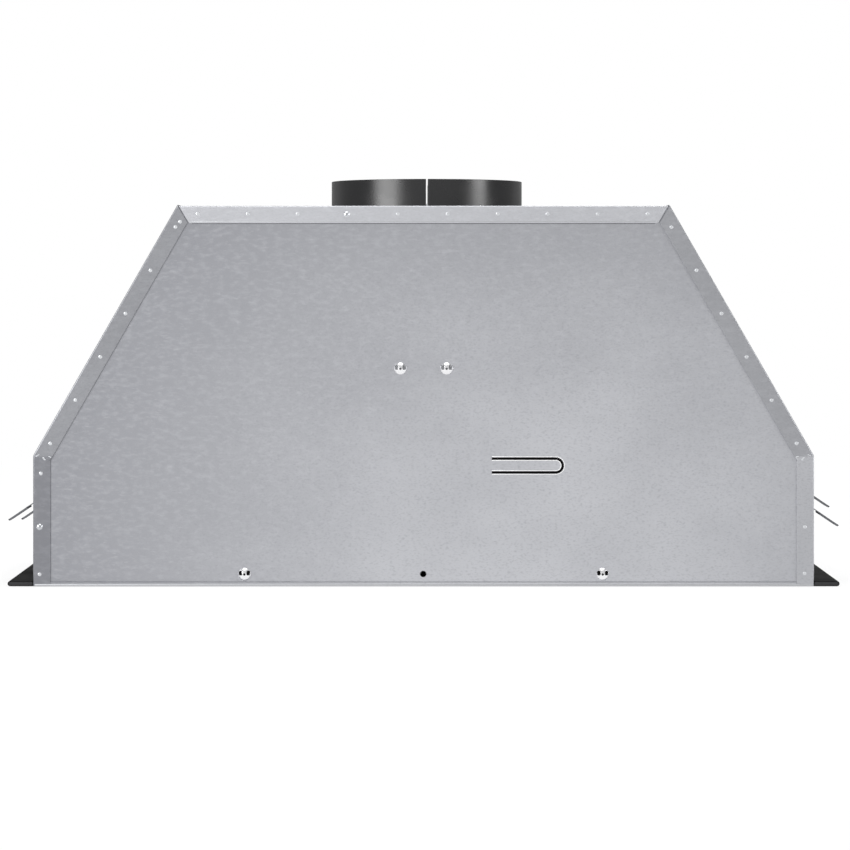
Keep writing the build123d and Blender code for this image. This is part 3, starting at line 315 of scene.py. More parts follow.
# ------------------------------------------------------------------ finishes
@dataclass(frozen=True)
class Finish:
    """One surface finish. Subclasses paint its pattern.

    Attributes:
        name: The finish in a maker's words.
        colour: Its main sRGB colour.
        roughness: The middle of its roughness.
        metallic: One for bare metal.
    """

    name: str
    colour: str
    roughness: float
    metallic: float = 0.0

    def material(self) -> bpy.types.Material:
        """Makes the finish's material on first use.

        Returns:
            The material, the same one each time.
        """
        found = bpy.data.materials.get(self.name)
        if found:
            return found
        made = bpy.data.materials.new(self.name)
        made.use_nodes = True
        shader = made.node_tree.nodes["Principled BSDF"]
        shader.inputs["Base Color"].default_value = linear(self.colour)
        shader.inputs["Roughness"].default_value = self.roughness
        shader.inputs["Metallic"].default_value = self.metallic
        self.paint(made.node_tree, shader)
        return made

    def paint(self, tree: Tree, shader: Node) -> None:
        """Adds the finish's own pattern.

        Args:
            tree: The material's tree.
            shader: Its Principled shader, with colour, roughness and metallic set.
        """
        raise NotImplementedError

    def dress(self, piece: Piece) -> None:
        """Gives a piece this finish in all its slots, or in a new one.

        Args:
            piece: The object to dress.
        """
        if not piece.data.materials:
            piece.data.materials.append(None)
        for at in range(len(piece.material_slots)):
            piece.material_slots[at].material = self.material()

    def vary_gloss(
        self, tree: Tree, shader: Node, noise: Socket, down: float, up: float
    ) -> None:
        """Lets the roughness follow a noise.

        Args:
            tree: The material's tree.
            shader: Its shader.
            noise: The noise, from 0 to 1.
            down: How far the roughness falls below its middle.
            up: How far it rises above its middle.
        """
        rough = self.spread(tree, noise, self.roughness - down, self.roughness + up)
        tree.links.new(rough, shader.inputs["Roughness"])

    @staticmethod
    def pattern(
        tree: Tree, size_mm: float, stretch: Point = (1.0, 1.0, 1.0), detail: float = 2.0
    ) -> Socket:
        """Adds a noise whose features have a real size.

        Args:
            tree: The material's tree.
            size_mm: How far apart the features are.
            stretch: How many times longer they are along X, Y and Z.
            detail: How many finer layers lie over them.

        Returns:
            The noise's value, from 0 to 1 about 0.5.
        """
        place = add_node(tree, "TexCoord").outputs["Object"]
        scale = [1 / (size_mm * MM * along) for along in stretch]
        mapped = add_node(tree, "Mapping", {"Vector": place}, {"Scale": scale})
        noise = add_node(
            tree, "TexNoise", {"Vector": mapped.outputs["Vector"]},
            {"Scale": 1.0, "Detail": detail, "Roughness": 0.55},
        )
        return noise.outputs["Fac"]

    @staticmethod
    def spread(
        tree: Tree, value: Socket, low: float, high: float, start: float = 0.3, end: float = 0.7
    ) -> Socket:
        """Stretches a value to another range.

        Args:
            tree: The material's tree.
            value: The value to map.
            low: What start becomes.
            high: What end becomes.
            start: The value below which nothing changes.
            end: The value above which nothing changes.

        Returns:
            The mapped value.
        """
        mapped = add_node(
            tree, "MapRange", {"Value": value},
            {"From Min": start, "From Max": end, "To Min": low, "To Max": high},
        )
        return mapped.outputs["Result"]

    @staticmethod
    def blend_colours(tree: Tree, factor: Socket, first: Socket | str, second: str) -> Socket:
        """Mixes two colours by a factor.

        Args:
            tree: The material's tree.
            factor: How much of the second colour.
            first: A hex colour or an earlier mix.
            second: A hex colour.

        Returns:
            The mixed colour.
        """
        values: dict[int | str, object] = {7: linear(second)}
        links: dict[int | str, Socket] = {0: factor}
        if isinstance(first, str):
            values[6] = linear(first)
        else:
            links[6] = first
        return add_node(tree, "Mix", links, values, data_type="RGBA").outputs[2]

    @staticmethod
    def dent(
        tree: Tree, shader: Node, height: Socket, depth_mm: float, strength: float
    ) -> None:
        """Gives the shader a bump of a real depth.

        Args:
            tree: The material's tree.
            shader: Its shader.
            height: The relief, from 0 to 1.
            depth_mm: How deep the relief is.
            strength: How much of it is felt.
        """
        bump = add_node(
            tree, "Bump", {"Height": height}, {"Strength": strength, "Distance": depth_mm * MM}
        )
        tree.links.new(bump.outputs["Normal"], shader.inputs["Normal"])


@dataclass(frozen=True)
class ZincLayer:
    """One noise that tints a zinc coat, most where its value rises from start to end."""

    size_mm: float
    stretch: Point
    detail: float
    most: float
    start: float
    end: float


@dataclass(frozen=True)
class GalvanisedSheet(Finish):
    """Hot-dip galvanised steel with a minimised spangle: matte, cloudy and finely mottled.

    A minimised spangle is about 0.3 mm wide and a rolling mark 0.1 mm. The mottle, specks and
    marks are drawn several times coarser, so that they show from 2.5 m.
    """

    tarnish: str = "9c9da2"
    bloom: str = "c4c5c9"
    # rim and low are painted colours: shade towards a large sheet's rim, and light or shade below
    # a side's bend
    rim: str = ""
    low: str = ""
    clouds: ZincLayer = ZincLayer(90.0, (1.4, 1.4, 1.0), 3, 0.35, 0.3, 0.7)
    mottle: ZincLayer = ZincLayer(4.0, (1.8, 1.8, 0.9), 3, 0.2, 0.47, 0.7)
    specks: ZincLayer = ZincLayer(1.5, (1.8, 1.8, 0.9), 2, 0.5, 0.5, 0.75)
    marks: ZincLayer = ZincLayer(1.6, (4.0, 4.0, 1.0), 1, 0.18, 0.62, 0.8)
    relief_mm: float = 0.05
    # painted light: the zinc is paler round this spot and turns to the rim's painted shade between
    # the two reaches
    painted_light_spot: Point = (0.12, REAR_Y, 0.0)
    painted_light_reach: float = 0.08
    painted_shade_reach: float = 0.46
    bend_height: float = 0.113
    bend_fade: float = 1.5 * MM

    def paint(self, tree: Tree, shader: Node) -> None:
        """Lays clouds, mottling, specks and short rolling marks of zinc over the colour.

        Args:
            tree: The material's tree.
            shader: Its shader.
        """
        noises = []
        base = self.painted_light_and_shade(tree)
        for layer, tint in (
            (self.clouds, self.tarnish), (self.mottle, self.bloom),
            (self.specks, self.tarnish), (self.marks, self.bloom),
        ):
            noise = self.pattern(tree, layer.size_mm, layer.stretch, layer.detail)
            share = self.spread(tree, noise, 0.0, layer.most, layer.start, layer.end)
            base = self.blend_colours(tree, share, base, tint)
            noises.append(noise)
        tree.links.new(base, shader.inputs["Base Color"])
        self.vary_gloss(tree, shader, noises[1], down=0.03, up=0.04)
        self.dent(tree, shader, noises[2], self.relief_mm, strength=0.28)

    def painted_light_and_shade(self, tree: Tree) -> Socket | str:
        """Paints light and shade under the pattern: a painted pool of light round a large sheet's
        spot that fades to a painted-shade rim, or a painted change of tone below a side's bend.

        Args:
            tree: The material's tree.

        Returns:
            The colour under the pattern.
        """
        place = add_node(tree, "TexCoord").outputs["Object"]
        if self.rim:
            # painted light and shade: paler round the spot, darker towards the rim
            reach = add_node(
                tree, "VectorMath", {0: place}, {1: self.painted_light_spot}, operation="DISTANCE"
            ).outputs["Value"]
            shade_share = self.spread(tree, reach, 0.0, 1.0, self.painted_light_reach, self.painted_shade_reach)
            return self.blend_colours(tree, shade_share, self.colour, self.rim)
        if self.low:
            height = add_node(tree, "SeparateXYZ", {"Vector": place}).outputs["Z"]
            fade_start = self.bend_height - self.bend_fade
            below = self.spread(tree, height, 1.0, 0.0, fade_start, self.bend_height)
            return self.blend_colours(tree, below, self.colour, self.low)
        return self.colour


@dataclass(frozen=True)
class SatinEnamel(Finish):
    """Stoved enamel on steel: an even coat with a faint orange peel."""

    shine: float = 0.5
    peel_mm: float = 1.6
    wear_mm: float = 30.0
    relief_mm: float = 0.02

    def paint(self, tree: Tree, shader: Node) -> None:
        """Adds the orange peel and a faint unevenness of the gloss.

        Args:
            tree: The material's tree.
            shader: Its shader.
        """
        shader.inputs["Specular IOR Level"].default_value = self.shine
        peel = self.pattern(tree, self.peel_mm, detail=1)
        wear = self.pattern(tree, self.wear_mm, detail=3)
        self.vary_gloss(tree, shader, wear, down=0.04, up=0.06)
        self.dent(tree, shader, peel, self.relief_mm, strength=0.4)


@dataclass(frozen=True)
class BrushedSteel(Finish):
    """Rolled or brushed metal: fine straight lines that stretch its highlights.

    Real brush lines are about 0.1 mm apart. They are drawn four to six times coarser to show.
    """

    line_mm: float = 0.5
    stretch: Point = (60.0, 1.0, 1.0)
    shade: str = "8e8f92"
    relief_mm: float = 0.02

    def paint(self, tree: Tree, shader: Node) -> None:
        """Draws the brush lines in the colour, the gloss and the bump.

        Args:
            tree: The material's tree.
            shader: Its shader.
        """
        line = self.pattern(tree, self.line_mm, self.stretch, detail=2)
        share = self.spread(tree, line, low=0.0, high=0.45)
        base = self.blend_colours(tree, share, self.colour, self.shade)
        tree.links.new(base, shader.inputs["Base Color"])
        self.vary_gloss(tree, shader, line, down=0.06, up=0.08)
        self.dent(tree, shader, line, self.relief_mm, strength=0.3)


@dataclass(frozen=True)
class PlatedSteel(Finish):
    """Bright zinc or nickel plate: a clean, lively metal gloss.

    Real plate varies within about 0.3 mm. It is drawn four times coarser to show.
    """

    wear_mm: float = 1.2

    def paint(self, tree: Tree, shader: Node) -> None:
        """Makes the plate's gloss slightly uneven.

        Args:
            tree: The material's tree.
            shader: Its shader.
        """
        wear = self.pattern(tree, self.wear_mm, detail=2)
        self.vary_gloss(tree, shader, wear, down=0.04, up=0.08)


@dataclass(frozen=True)
class MouldedPlastic(Finish):
    """Moulded plastic with a spark-eroded grain.

    The real grain is about 0.2 mm wide. It is drawn three to four times coarser to show.
    """

    grain_mm: float = 0.7
    relief_mm: float = 0.02

    def paint(self, tree: Tree, shader: Node) -> None:
        """Adds the mould's grain.

        Args:
            tree: The material's tree.
            shader: Its shader.
        """
        grain = self.pattern(tree, self.grain_mm, detail=1)
        self.vary_gloss(tree, shader, grain, down=0.05, up=0.05)
        self.dent(tree, shader, grain, self.relief_mm, strength=0.4)


@dataclass(frozen=True)
class FrostedLens(Finish):
    """Opal polycarbonate that spreads a lamp's light.

    Real frosting is about 0.1 mm wide. It is drawn six times coarser to show.
    """

    clearness: float = 0.12
    ior: float = 1.58
    frost_mm: float = 0.6
    relief_mm: float = 0.03

    def paint(self, tree: Tree, shader: Node) -> None:
        """Lets some light through and prints the frosting.

        Args:
            tree: The material's tree.
            shader: Its shader.
        """
        shader.inputs["Transmission Weight"].default_value = self.clearness
        shader.inputs["IOR"].default_value = self.ior
        frost = self.pattern(tree, self.frost_mm, detail=1)
        self.dent(tree, shader, frost, self.relief_mm, strength=0.5)


@dataclass(frozen=True)
class CircuitBoard(Finish):
    """Glass-fibre board with a solder mask and its copper tracks below.

    Real tracks lie about 2 mm apart. They are drawn coarser to show through a small gap.
    """

    track: str = "2f7a45"
    wave_scale: float = 1 / (6 * MM * 6.28)     # lays the tracks 11.8 mm apart

    def paint(self, tree: Tree, shader: Node) -> None:
        """Shows the tracks as paler lines under the mask.

        Args:
            tree: The material's tree.
            shader: Its shader.
        """
        place = add_node(tree, "TexCoord").outputs["Object"]
        lines = add_node(tree, "TexWave", {"Vector": place}, {"Scale": self.wave_scale})
        tracks = self.spread(tree, lines.outputs["Fac"], 0.0, 1.0, start=0.7, end=0.8)
        green = self.blend_colours(tree, tracks, self.colour, self.track)
        tree.links.new(green, shader.inputs["Base Color"])


class Finishes(Enum):
    """Every finish of the insert, each under what it gives the eye."""

    # Skin-passed zinc: pale, matte and cloudy, with a painted pool of light low and right of the
    # middle that fades to painted shade at the panel's rim.
    REAR_SHEET = GalvanisedSheet("galvanised_sheet_rear", "c8c9cd", 0.5, 1.0, rim="929398")
    # Zinc on the left side, painted darker as painted shade: mid grey and flat, with more painted
    # shade below the bend.
    LEFT_SHEET = GalvanisedSheet(
        "galvanised_sheet_left", "96979b", 0.5, 1.0, "85868a", "a5a6aa", low="818287"
    )
    # The same zinc on the right side, painted paler as painted light, and paler still below the
    # bend.
    RIGHT_SHEET = GalvanisedSheet(
        "galvanised_sheet_right", "a2a3a7", 0.5, 1.0, "95969a", "b5b6ba", low="b9babe"
    )
    # Clean zinc: pale and even, with a soft wide sheen.
    TOP_SHEET = GalvanisedSheet("galvanised_sheet_top", "bdbec2", 0.56, 1.0, "adaeb2", "d0d1d5")
    # Zinc inside the housing: plain mid grey.
    INNER_SHEET = GalvanisedSheet("galvanised_sheet_inner", "a2a3a7", 0.48, 1.0)
    # Zinc burnt off and ground: small bright spots.
    WELD = PlatedSteel("ground_spot_weld", "ced0d3", 0.42, 1.0)
    # Painted shadow in an open lap: a soft dark line.
    JOINT = SatinEnamel("shadowed_lap_joint", "6b6c70", 0.7, 0.0, 0.1)
    # Painted highlight along a strip's edge: a pale line without sparkle.
    BURNISHED = PlatedSteel("painted_edge_highlight", "b3b4b7", 0.55, 1.0)
    # Painted highlight along the lanced slit's edges: a thin line that is nearly white.
    BURR = PlatedSteel("painted_slit_highlight", "f4f4f5", 0.5, 1.0)
    # Matt stoved enamel: a deep black that hardly reflects.
    PAN = SatinEnamel("black_stoved_enamel", "131313", 0.6, 0.0, 0.07)
    # Painted highlight on the rolled end where a hem is open: dull dark grey.
    HEM_END = SatinEnamel("grey_hem_end_sheen", "343435", 0.7, 0.0, 0.1)
    # Painted shade: black laid in the slit, round the hole and in the lower screws' pockets, where
    # there is only shade.
    OXIDE = SatinEnamel("painted_shade_black", "0a0a0a", 0.7, 0.0, 0.04)
    # Painted shade: a soft middle grey in the upper screws' driver pockets.
    ETCHED = SatinEnamel("painted_shade_grey", "77787b", 0.6, 0.0, 0.15)
    # Satin lacquer: black with one soft upright highlight on each half.
    COLLAR = SatinEnamel("black_satin_lacquer", "1c1c1d", 0.24, 0.0, 0.5)
    # Nickel plate: nearly white, with small clear highlights.
    SCREW = PlatedSteel("nickel_plate", "eeeef0", 0.19, 1.0)
    # Spring strip: dark grey, partly its own tone and partly painted shade, darker along its
    # rolling lines.
    CLIP = BrushedSteel(
        "tempered_spring_steel", "6f7074", 0.32, 1.0, 0.6, (40.0, 1.0, 1.0), "55565a"
    )
    # Bright zinc plate: pale and slightly blue.
    ZINC = PlatedSteel("bright_zinc_plate", "c6c8cc", 0.25, 1.0)
    # Cold-rolled strip: silky, with fine lines.
    SPRING = BrushedSteel("rolled_spring_steel", "b9babd", 0.3, 1.0, 0.6, (1.0, 40.0, 1.0))
    # Brushed stainless steel: neutral, with highlights drawn out along the brushing.
    FILTER = BrushedSteel("brushed_stainless_steel", "c3c3c3", 0.3, 1.0, 0.5, (1.0, 60.0, 1.0))
    # Drawn aluminium: pale, even and a little dull.
    RIVET = BrushedSteel("drawn_aluminium", "c8c9cb", 0.35, 1.0, 0.6, (1.0, 1.0, 1.0))
    # Turned aluminium: clean and pale, with a ringed sheen.
    LAMP = BrushedSteel("turned_aluminium", "c4c5c7", 0.28, 1.0, 0.4, (1.0, 1.0, 30.0))
    # Half-gloss enamel: plain dark grey.
    MOTOR = SatinEnamel("grey_motor_enamel", "4e5154", 0.45)
    # Polypropylene: off-white and waxy.
    CAPACITOR = MouldedPlastic("white_polypropylene", "dcdbd5", 0.4)
    # Grained black plastic: a soft grey sheen.
    PLASTIC = MouldedPlastic("black_moulded_abs", "161616", 0.5)
    # The same, finer and glossier: buttons stand out from their bezel.
    BUTTON = MouldedPlastic("black_button_abs", "1c1c1d", 0.32, 0.0, 0.9, 0.008)
    # Solder mask: deep green with paler tracks.
    BOARD = CircuitBoard("green_circuit_board", "1f5c33", 0.35)
    # Opal plastic: milky, without a clear reflection.
    LENS = FrostedLens("opal_polycarbonate", "eeeeea", 0.45)


SLOT_FINISHES = {
    "galvanised_sheet": Finishes.REAR_SHEET,
    "inner_galvanised": Finishes.INNER_SHEET,
    "black_enamel": Finishes.PAN,
    "black_collar": Finishes.COLLAR,
    "plated_steel": Finishes.ZINC,
    "nickel_screws": Finishes.SCREW,
    "motor_grey": Finishes.MOTOR,
    "capacitor_plastic": Finishes.CAPACITOR,
    "black_plastic": Finishes.PLASTIC,
    "board_green": Finishes.BOARD,
    "rivet_aluminium": Finishes.RIVET,
    "spring_steel": Finishes.SPRING,
    "filter_stainless": Finishes.FILTER,
    "lamp_aluminium": Finishes.LAMP,
    "frosted_lens": Finishes.LENS,
    "button_plastic": Finishes.BUTTON,
}
NODE_FINISHES = {
    "left_side_wrap": Finishes.LEFT_SHEET,
    "right_side_wrap": Finishes.RIGHT_SHEET,
    "top_panel": Finishes.TOP_SHEET,
}


def fit(piece: Piece, finish: Finishes, body: str = "housing") -> None:
    """Dresses a finished piece, ties it to its body, and logs it.

    Args:
        piece: The finished piece.
        finish: Its finish.
        body: The CAD body that it moves with.
    """
    finish.value.dress(piece)
    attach(piece, body)
    LOG.info("%s: %d faces on %s", piece.name, len(piece.data.polygons), body)


# ------------------------------------------------------------------ the frame's own nodes
@dataclass
class Frame:
    """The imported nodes, dressed and with their folded edges softened."""

    nodes: dict[str, Piece]
    slots: dict[str, str]
    fold_radius: float = 0.35 * MM
    fold_degrees: float = 35.0
    flat_degrees: float = 0.5
    weld_reach: float = 2e-5
    soft_nodes: tuple[str, ...] = (
        "rear_panel", "front_panel", "left_side_wrap", "right_side_wrap", "top_panel", "face_pan",
    )

    def dress(self) -> None:
        """Gives every node its finish."""
        for name, node in self.nodes.items():
            NODE_FINISHES.get(name, SLOT_FINISHES[self.slots[name]]).value.dress(node)
        LOG.info("dressed %d nodes", len(self.nodes))

    def soften(self) -> None:
        """Rounds the sheet metal's edges with live modifiers."""
        for name in self.soft_nodes:
            node = self.nodes[name]
            weld = node.modifiers.new("Weld", "WELD")
            weld.merge_threshold = self.weld_reach
            flat = node.modifiers.new("Dissolve", "DECIMATE")
            flat.decimate_type = "DISSOLVE"
            flat.angle_limit = math.radians(self.flat_degrees)
            bevel = node.modifiers.new("Fold", "BEVEL")
            bevel.width = self.fold_radius
            bevel.segments = 2
            bevel.limit_method = "ANGLE"
            bevel.angle_limit = math.radians(self.fold_degrees)
        LOG.info("softened %d sheets", len(self.soft_nodes))


# ------------------------------------------------------------------ fasteners and welds
@dataclass
class CrossScrew:
    """A pan-head screw with a cross recess, standing on z = 0 with its head upwards.

    A large one has a driver pocket on each side of the cross, whose floor carries painted shade.
    """

    head_radius: float = 5.4 * MM
    head_height: float = 2.6 * MM
    recess_span: float = 3.2 * MM
    recess_width: float = 1.3 * MM
    recess_depth: float = 1.6 * MM
    recess_taper: Point = (0.35, 0.6, 1.0)
    sides: int = 48
    pocket_length: float = 3.8 * MM
    pocket_width: float = 4.0 * MM
    pocket_floor: float = 0.7 * MM
    pocket_rise: float = 1.1 * MM
    pocket_gap: float = 0.3 * MM
    pocket_corner: float = 0.9 * MM
    shade_floor_length: float = 2.9 * MM
    shade_floor_sink: float = 0.05 * MM
    shade_floor_thickness: float = 0.15 * MM
    disc_radius: float = 1.3 * MM
    disc_depth: float = 0.9         # share of the recess's depth

    def build(self, name: str, pockets: bool = True) -> Piece:
        """Turns the domed head and sinks the recess.

        Args:
            name: The new object's name.
            pockets: Whether it has driver pockets beside the cross.

        Returns:
            The screw head.
        """
        dome = (self.head_radius**2 + self.head_height**2) / (2 * self.head_height)
        head = primitive(
            "uv_sphere", name, segments=self.sides, ring_count=self.sides // 2, radius=dome,
            location=(0, 0, self.head_height - dome),
        )
        settle(head)
        edit_all(head)
        bpy.ops.mesh.bisect(
            plane_co=(0, 0, 0), plane_no=(0, 0, 1), clear_inner=True, use_fill=True
        )
        leave_edit()
        face_outwards(head)
        for turn in (0, 90):
            cut_with(head, self.wing(turn))
        for side in (-1, 1) if pockets else ():
            cut_with(head, self.block("pocket", side, self.pocket_length, self.head_height))
        smooth(head)
        return head

    def block(self, name: str, side: int, length: float, height: float) -> Piece:
        """Makes the block that fills one driver pocket, or the lower part of one.

        Args:
            name: The new object's name.
            side: -1 for the left pocket and 1 for the right one.
            length: How far it reaches outwards from beside the cross.
            height: How far it stands up from the pocket's floor.

        Returns:
            The block, with its upright corners rounded.
        """
        block = primitive("cube", name, size=1.0)
        block.scale = (length, self.pocket_width, height)
        inner = self.recess_span / 2 + self.pocket_gap
        block.location = (
            side * (inner + length / 2), self.pocket_rise, self.pocket_floor + height / 2,
        )
        settle(block)
        edit_where(block, "EDGE", lambda a, b: abs(a.z - b.z) > height / 2)
        bpy.ops.mesh.bevel(offset=self.pocket_corner, segments=4, affect="EDGES")
        leave_edit()
        return block

    def wing(self, turn: float) -> Piece:
        """Makes one tapered bar of the cross recess.

        Args:
            turn: Its turn about the screw's axis in degrees.

        Returns:
            The bar, to be cut out.
        """
        bar = primitive("cube", "recess", size=1.0)
        bar.scale = (self.recess_span, self.recess_width, 2 * self.recess_depth)
        bar.location = (0, 0, self.head_height)
        settle(bar)
        edit_where(bar, "FACE", lambda centre, normal: normal.z < -0.9)
        bpy.ops.transform.resize(value=self.recess_taper)
        leave_edit()
        bar.rotation_euler = (0, 0, math.radians(turn))
        settle(bar)
        return bar

    def shade_floors(self, name: str) -> Piece:
        """Makes the painted shade on the floors of the two pockets and of the cross.

        Args:
            name: The new object's name.

        Returns:
            The three floors as one object, in the screw's own place.
        """
        floors = []
        for side in (-1, 1):
            floor = self.block("shade_floors", side, self.shade_floor_length, self.shade_floor_thickness)
            floor.location = (0, 0, -self.shade_floor_sink)
            settle(floor)
            floors.append(floor)
        centre = primitive(
            "cylinder", "shade_floors", vertices=16, radius=self.disc_radius,
            depth=self.shade_floor_thickness,
            location=(0, 0, self.head_height - self.disc_depth * self.recess_depth),
        )
        settle(centre)
        settle(centre)
        return join_all([*floors, centre], name)


@dataclass
class SpotWeld:
    """The mark of a resistance weld: a low ring round a shallow dish."""

    radius: float = 1.55 * MM
    height: float = 0.2 * MM
    steps: tuple[float, ...] = (0.65, 0.35)
    step_shrink: float = 0.82
    rim: float = 0.45 * MM
    dish: float = 0.1 * MM
    sides: int = 20
    smooth_degrees: float = 60.0

    def build(self, name: str) -> Piece:
        """Presses the mark, on z = 0 with its face upwards.

        Args:
            name: The new object's name.

        Returns:
            The mark.
        """
        mark = primitive("circle", name, vertices=self.sides, radius=self.radius, fill_type="NGON")
        edit_where(mark, "FACE", lambda centre, normal: True)
        for share in self.steps:
            lift = (0, 0, self.height * share)
            bpy.ops.mesh.extrude_region_move(TRANSFORM_OT_translate={"value": lift})
            bpy.ops.transform.resize(value=(self.step_shrink, self.step_shrink, 1.0))
        bpy.ops.mesh.inset(thickness=self.rim)
        bpy.ops.transform.translate(value=(0, 0, -self.dish))
        leave_edit()
        face_outwards(mark)
        smooth(mark, self.smooth_degrees)
        return mark


@dataclass(frozen=True)
class Scar:
    """A ground scar at a side's bend: a spot weld drawn long and thin, turned in degrees."""

    x: float
    z: float
    long: float
    thin: float
    turn: float


@dataclass
class Fasteners:
    """Screws and spot welds on the galvanised housing. Places are X and Z on a large side."""

    stay_screws: tuple[Place, ...] = ((-0.020, 0.1882), (0.020, 0.1882))
    pan_screws: tuple[Place, ...] = ((-0.155, 0.0103), (0.155, 0.0103))
    strip_screws: tuple[Place, ...] = ((-0.0666, 0.3216), (-0.3324, 0.0513))
    screw_clearance: float = 8.0 * MM
    top_first: float = -0.1953
    top_pitch: float = 0.04325
    top_count: int = 10
    top_height: float = 0.3222
    slope_start: Place = (0.2146, 0.3108)
    slope_end: Place = (0.3229, 0.1235)
    slope_count: int = 6
    wall_marks: tuple[Place, ...] = (
        (-0.3311, 0.0975), (-0.3322, 0.0102), (0.3298, 0.0111), (0.3301, 0.0514),
        (-0.2106, 0.3154),
    )
    scars: tuple[Scar, ...] = (
        Scar(0.334, 0.1132, 1.1, 0.3, 25.0),
        Scar(0.3284, 0.1102, 1.0, 0.45, -50.0),
        Scar(0.3234, 0.1118, 0.8, 0.3, -25.0),
    )

    def build(self) -> None:
        """Makes the screws and welds of both large sides."""
        self.build_rear_screws()
        self.build_strip_screws()
        self.build_welds()
        self.build_scars()

    def marks(self) -> list[Place]:
        """Works out where the welds are.

        Returns:
            Their places in X and Z, as the wall side shows them.
        """
        places = [
            (self.top_first + self.top_pitch * step, self.top_height)
            for step in range(self.top_count)
        ]
        for side in (-1, 1):
            for step in range(self.slope_count):
                share = step / (self.slope_count - 1)
                x = self.slope_start[0] + (self.slope_end[0] - self.slope_start[0]) * share
                z = self.slope_start[1] + (self.slope_end[1] - self.slope_start[1]) * share
                places.append((side * x, z))
        places += self.wall_marks
        return [
            place for place in places
            if all(math.dist(place, screw) > self.screw_clearance for screw in self.strip_screws)
        ]

    def build_rear_screws(self) -> None:
        """Makes the rear panel's large screws, with grey painted shade in the pockets above and
        black painted shade in those below.
        """
        kind = CrossScrew()
        large = kind.build("screw")
        # painted shade: dark floors laid in the driver pockets and the cross
        painted_shade = kind.shade_floors("pocket_floor")
        heads = []
        shade_pieces = []
        for number, (x, z) in enumerate(self.stay_screws + self.pan_screws):
            place = (x, REAR_Y + PANEL_INSET, z)
            heads.append(copy_to(large, f"rear_screw_{number}", place, (90, 0, 0)))
            shade_pieces.append(copy_to(painted_shade, f"pocket_lining_{number}", place, (90, 0, 0)))
        discard(large, painted_shade)
        stays = len(self.stay_screws)
        # grey painted shade in the upper screws' pockets, black in the lower ones
        for pieces, label, finish in (
            (shade_pieces[:stays], "stay", Finishes.ETCHED), (shade_pieces[stays:], "pan", Finishes.OXIDE),
        ):
            fit(join_all(pieces, f"{label}_screw_pocket_linings"), finish)
        screws = join_all(heads, "rear_cross_screws")
        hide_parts("rear_screws")
        fit(screws, Finishes.SCREW)

    def build_strip_screws(self) -> None:
        """Makes the small plain screws among the welds."""
        kind = CrossScrew(
            head_radius=2.7 * MM, head_height=1.1 * MM, recess_span=2.8 * MM,
            recess_width=0.7 * MM, recess_depth=0.7 * MM, sides=28,
        )
        small = kind.build("small_screw", pockets=False)
        heads = [
            copy_to(small, f"strip_screw_{number}", (x, REAR_Y, z), (90, 0, 0))
            for number, (x, z) in enumerate(self.strip_screws)
        ]
        discard(small)
        fit(join_all(heads, "strip_screws"), Finishes.ZINC)

    def build_welds(self) -> None:
        """Presses the rows of spot welds into the turned strips."""
        mark = SpotWeld().build("mark")
        for label, y, turn in (("rear", REAR_Y, 90), ("front", FRONT_Y, -90)):
            copies = [
                copy_to(mark, f"{label}_weld_{number}", (x, y, z), (turn, 0, 0))
                for number, (x, z) in enumerate(self.marks())
            ]
            fit(join_all(copies, f"{label}_spot_welds"), Finishes.WELD)
        discard(mark)

    def build_scars(self) -> None:
        """Grinds short bright scars where each side's strips meet at the bend."""
        mark = SpotWeld().build("scar")
        copies = []
        for side in (-1, 1):
            for scar in self.scars:
                copy = copy_to(mark, "scar", (0, 0, 0))
                copy.scale = (scar.long, scar.thin, 1.0)
                copy.rotation_euler = (math.radians(90), math.radians(side * scar.turn), 0)
                copy.location = (side * scar.x, REAR_Y, scar.z)
                settle(copy)
                copies.append(copy)
        discard(mark)
        fit(join_all(copies, "bend_weld_scars"), Finishes.WELD)


# ------------------------------------------------------------------ joints between the sheets
@dataclass(frozen=True)
class Seam:
    """A straight line on a large side, sunk so far below the turned strips' outer face."""

    start: Place
    end: Place
    width_mm: float
    sunk: float = 0.0

    def on(self, side: int) -> "Seam":
        """Returns the seam itself for side 1, and its mirror image for side -1."""
        ends = [(side * x, z) for x, z in (self.start, self.end)]
        return Seam(ends[0], ends[1], self.width_mm, self.sunk)


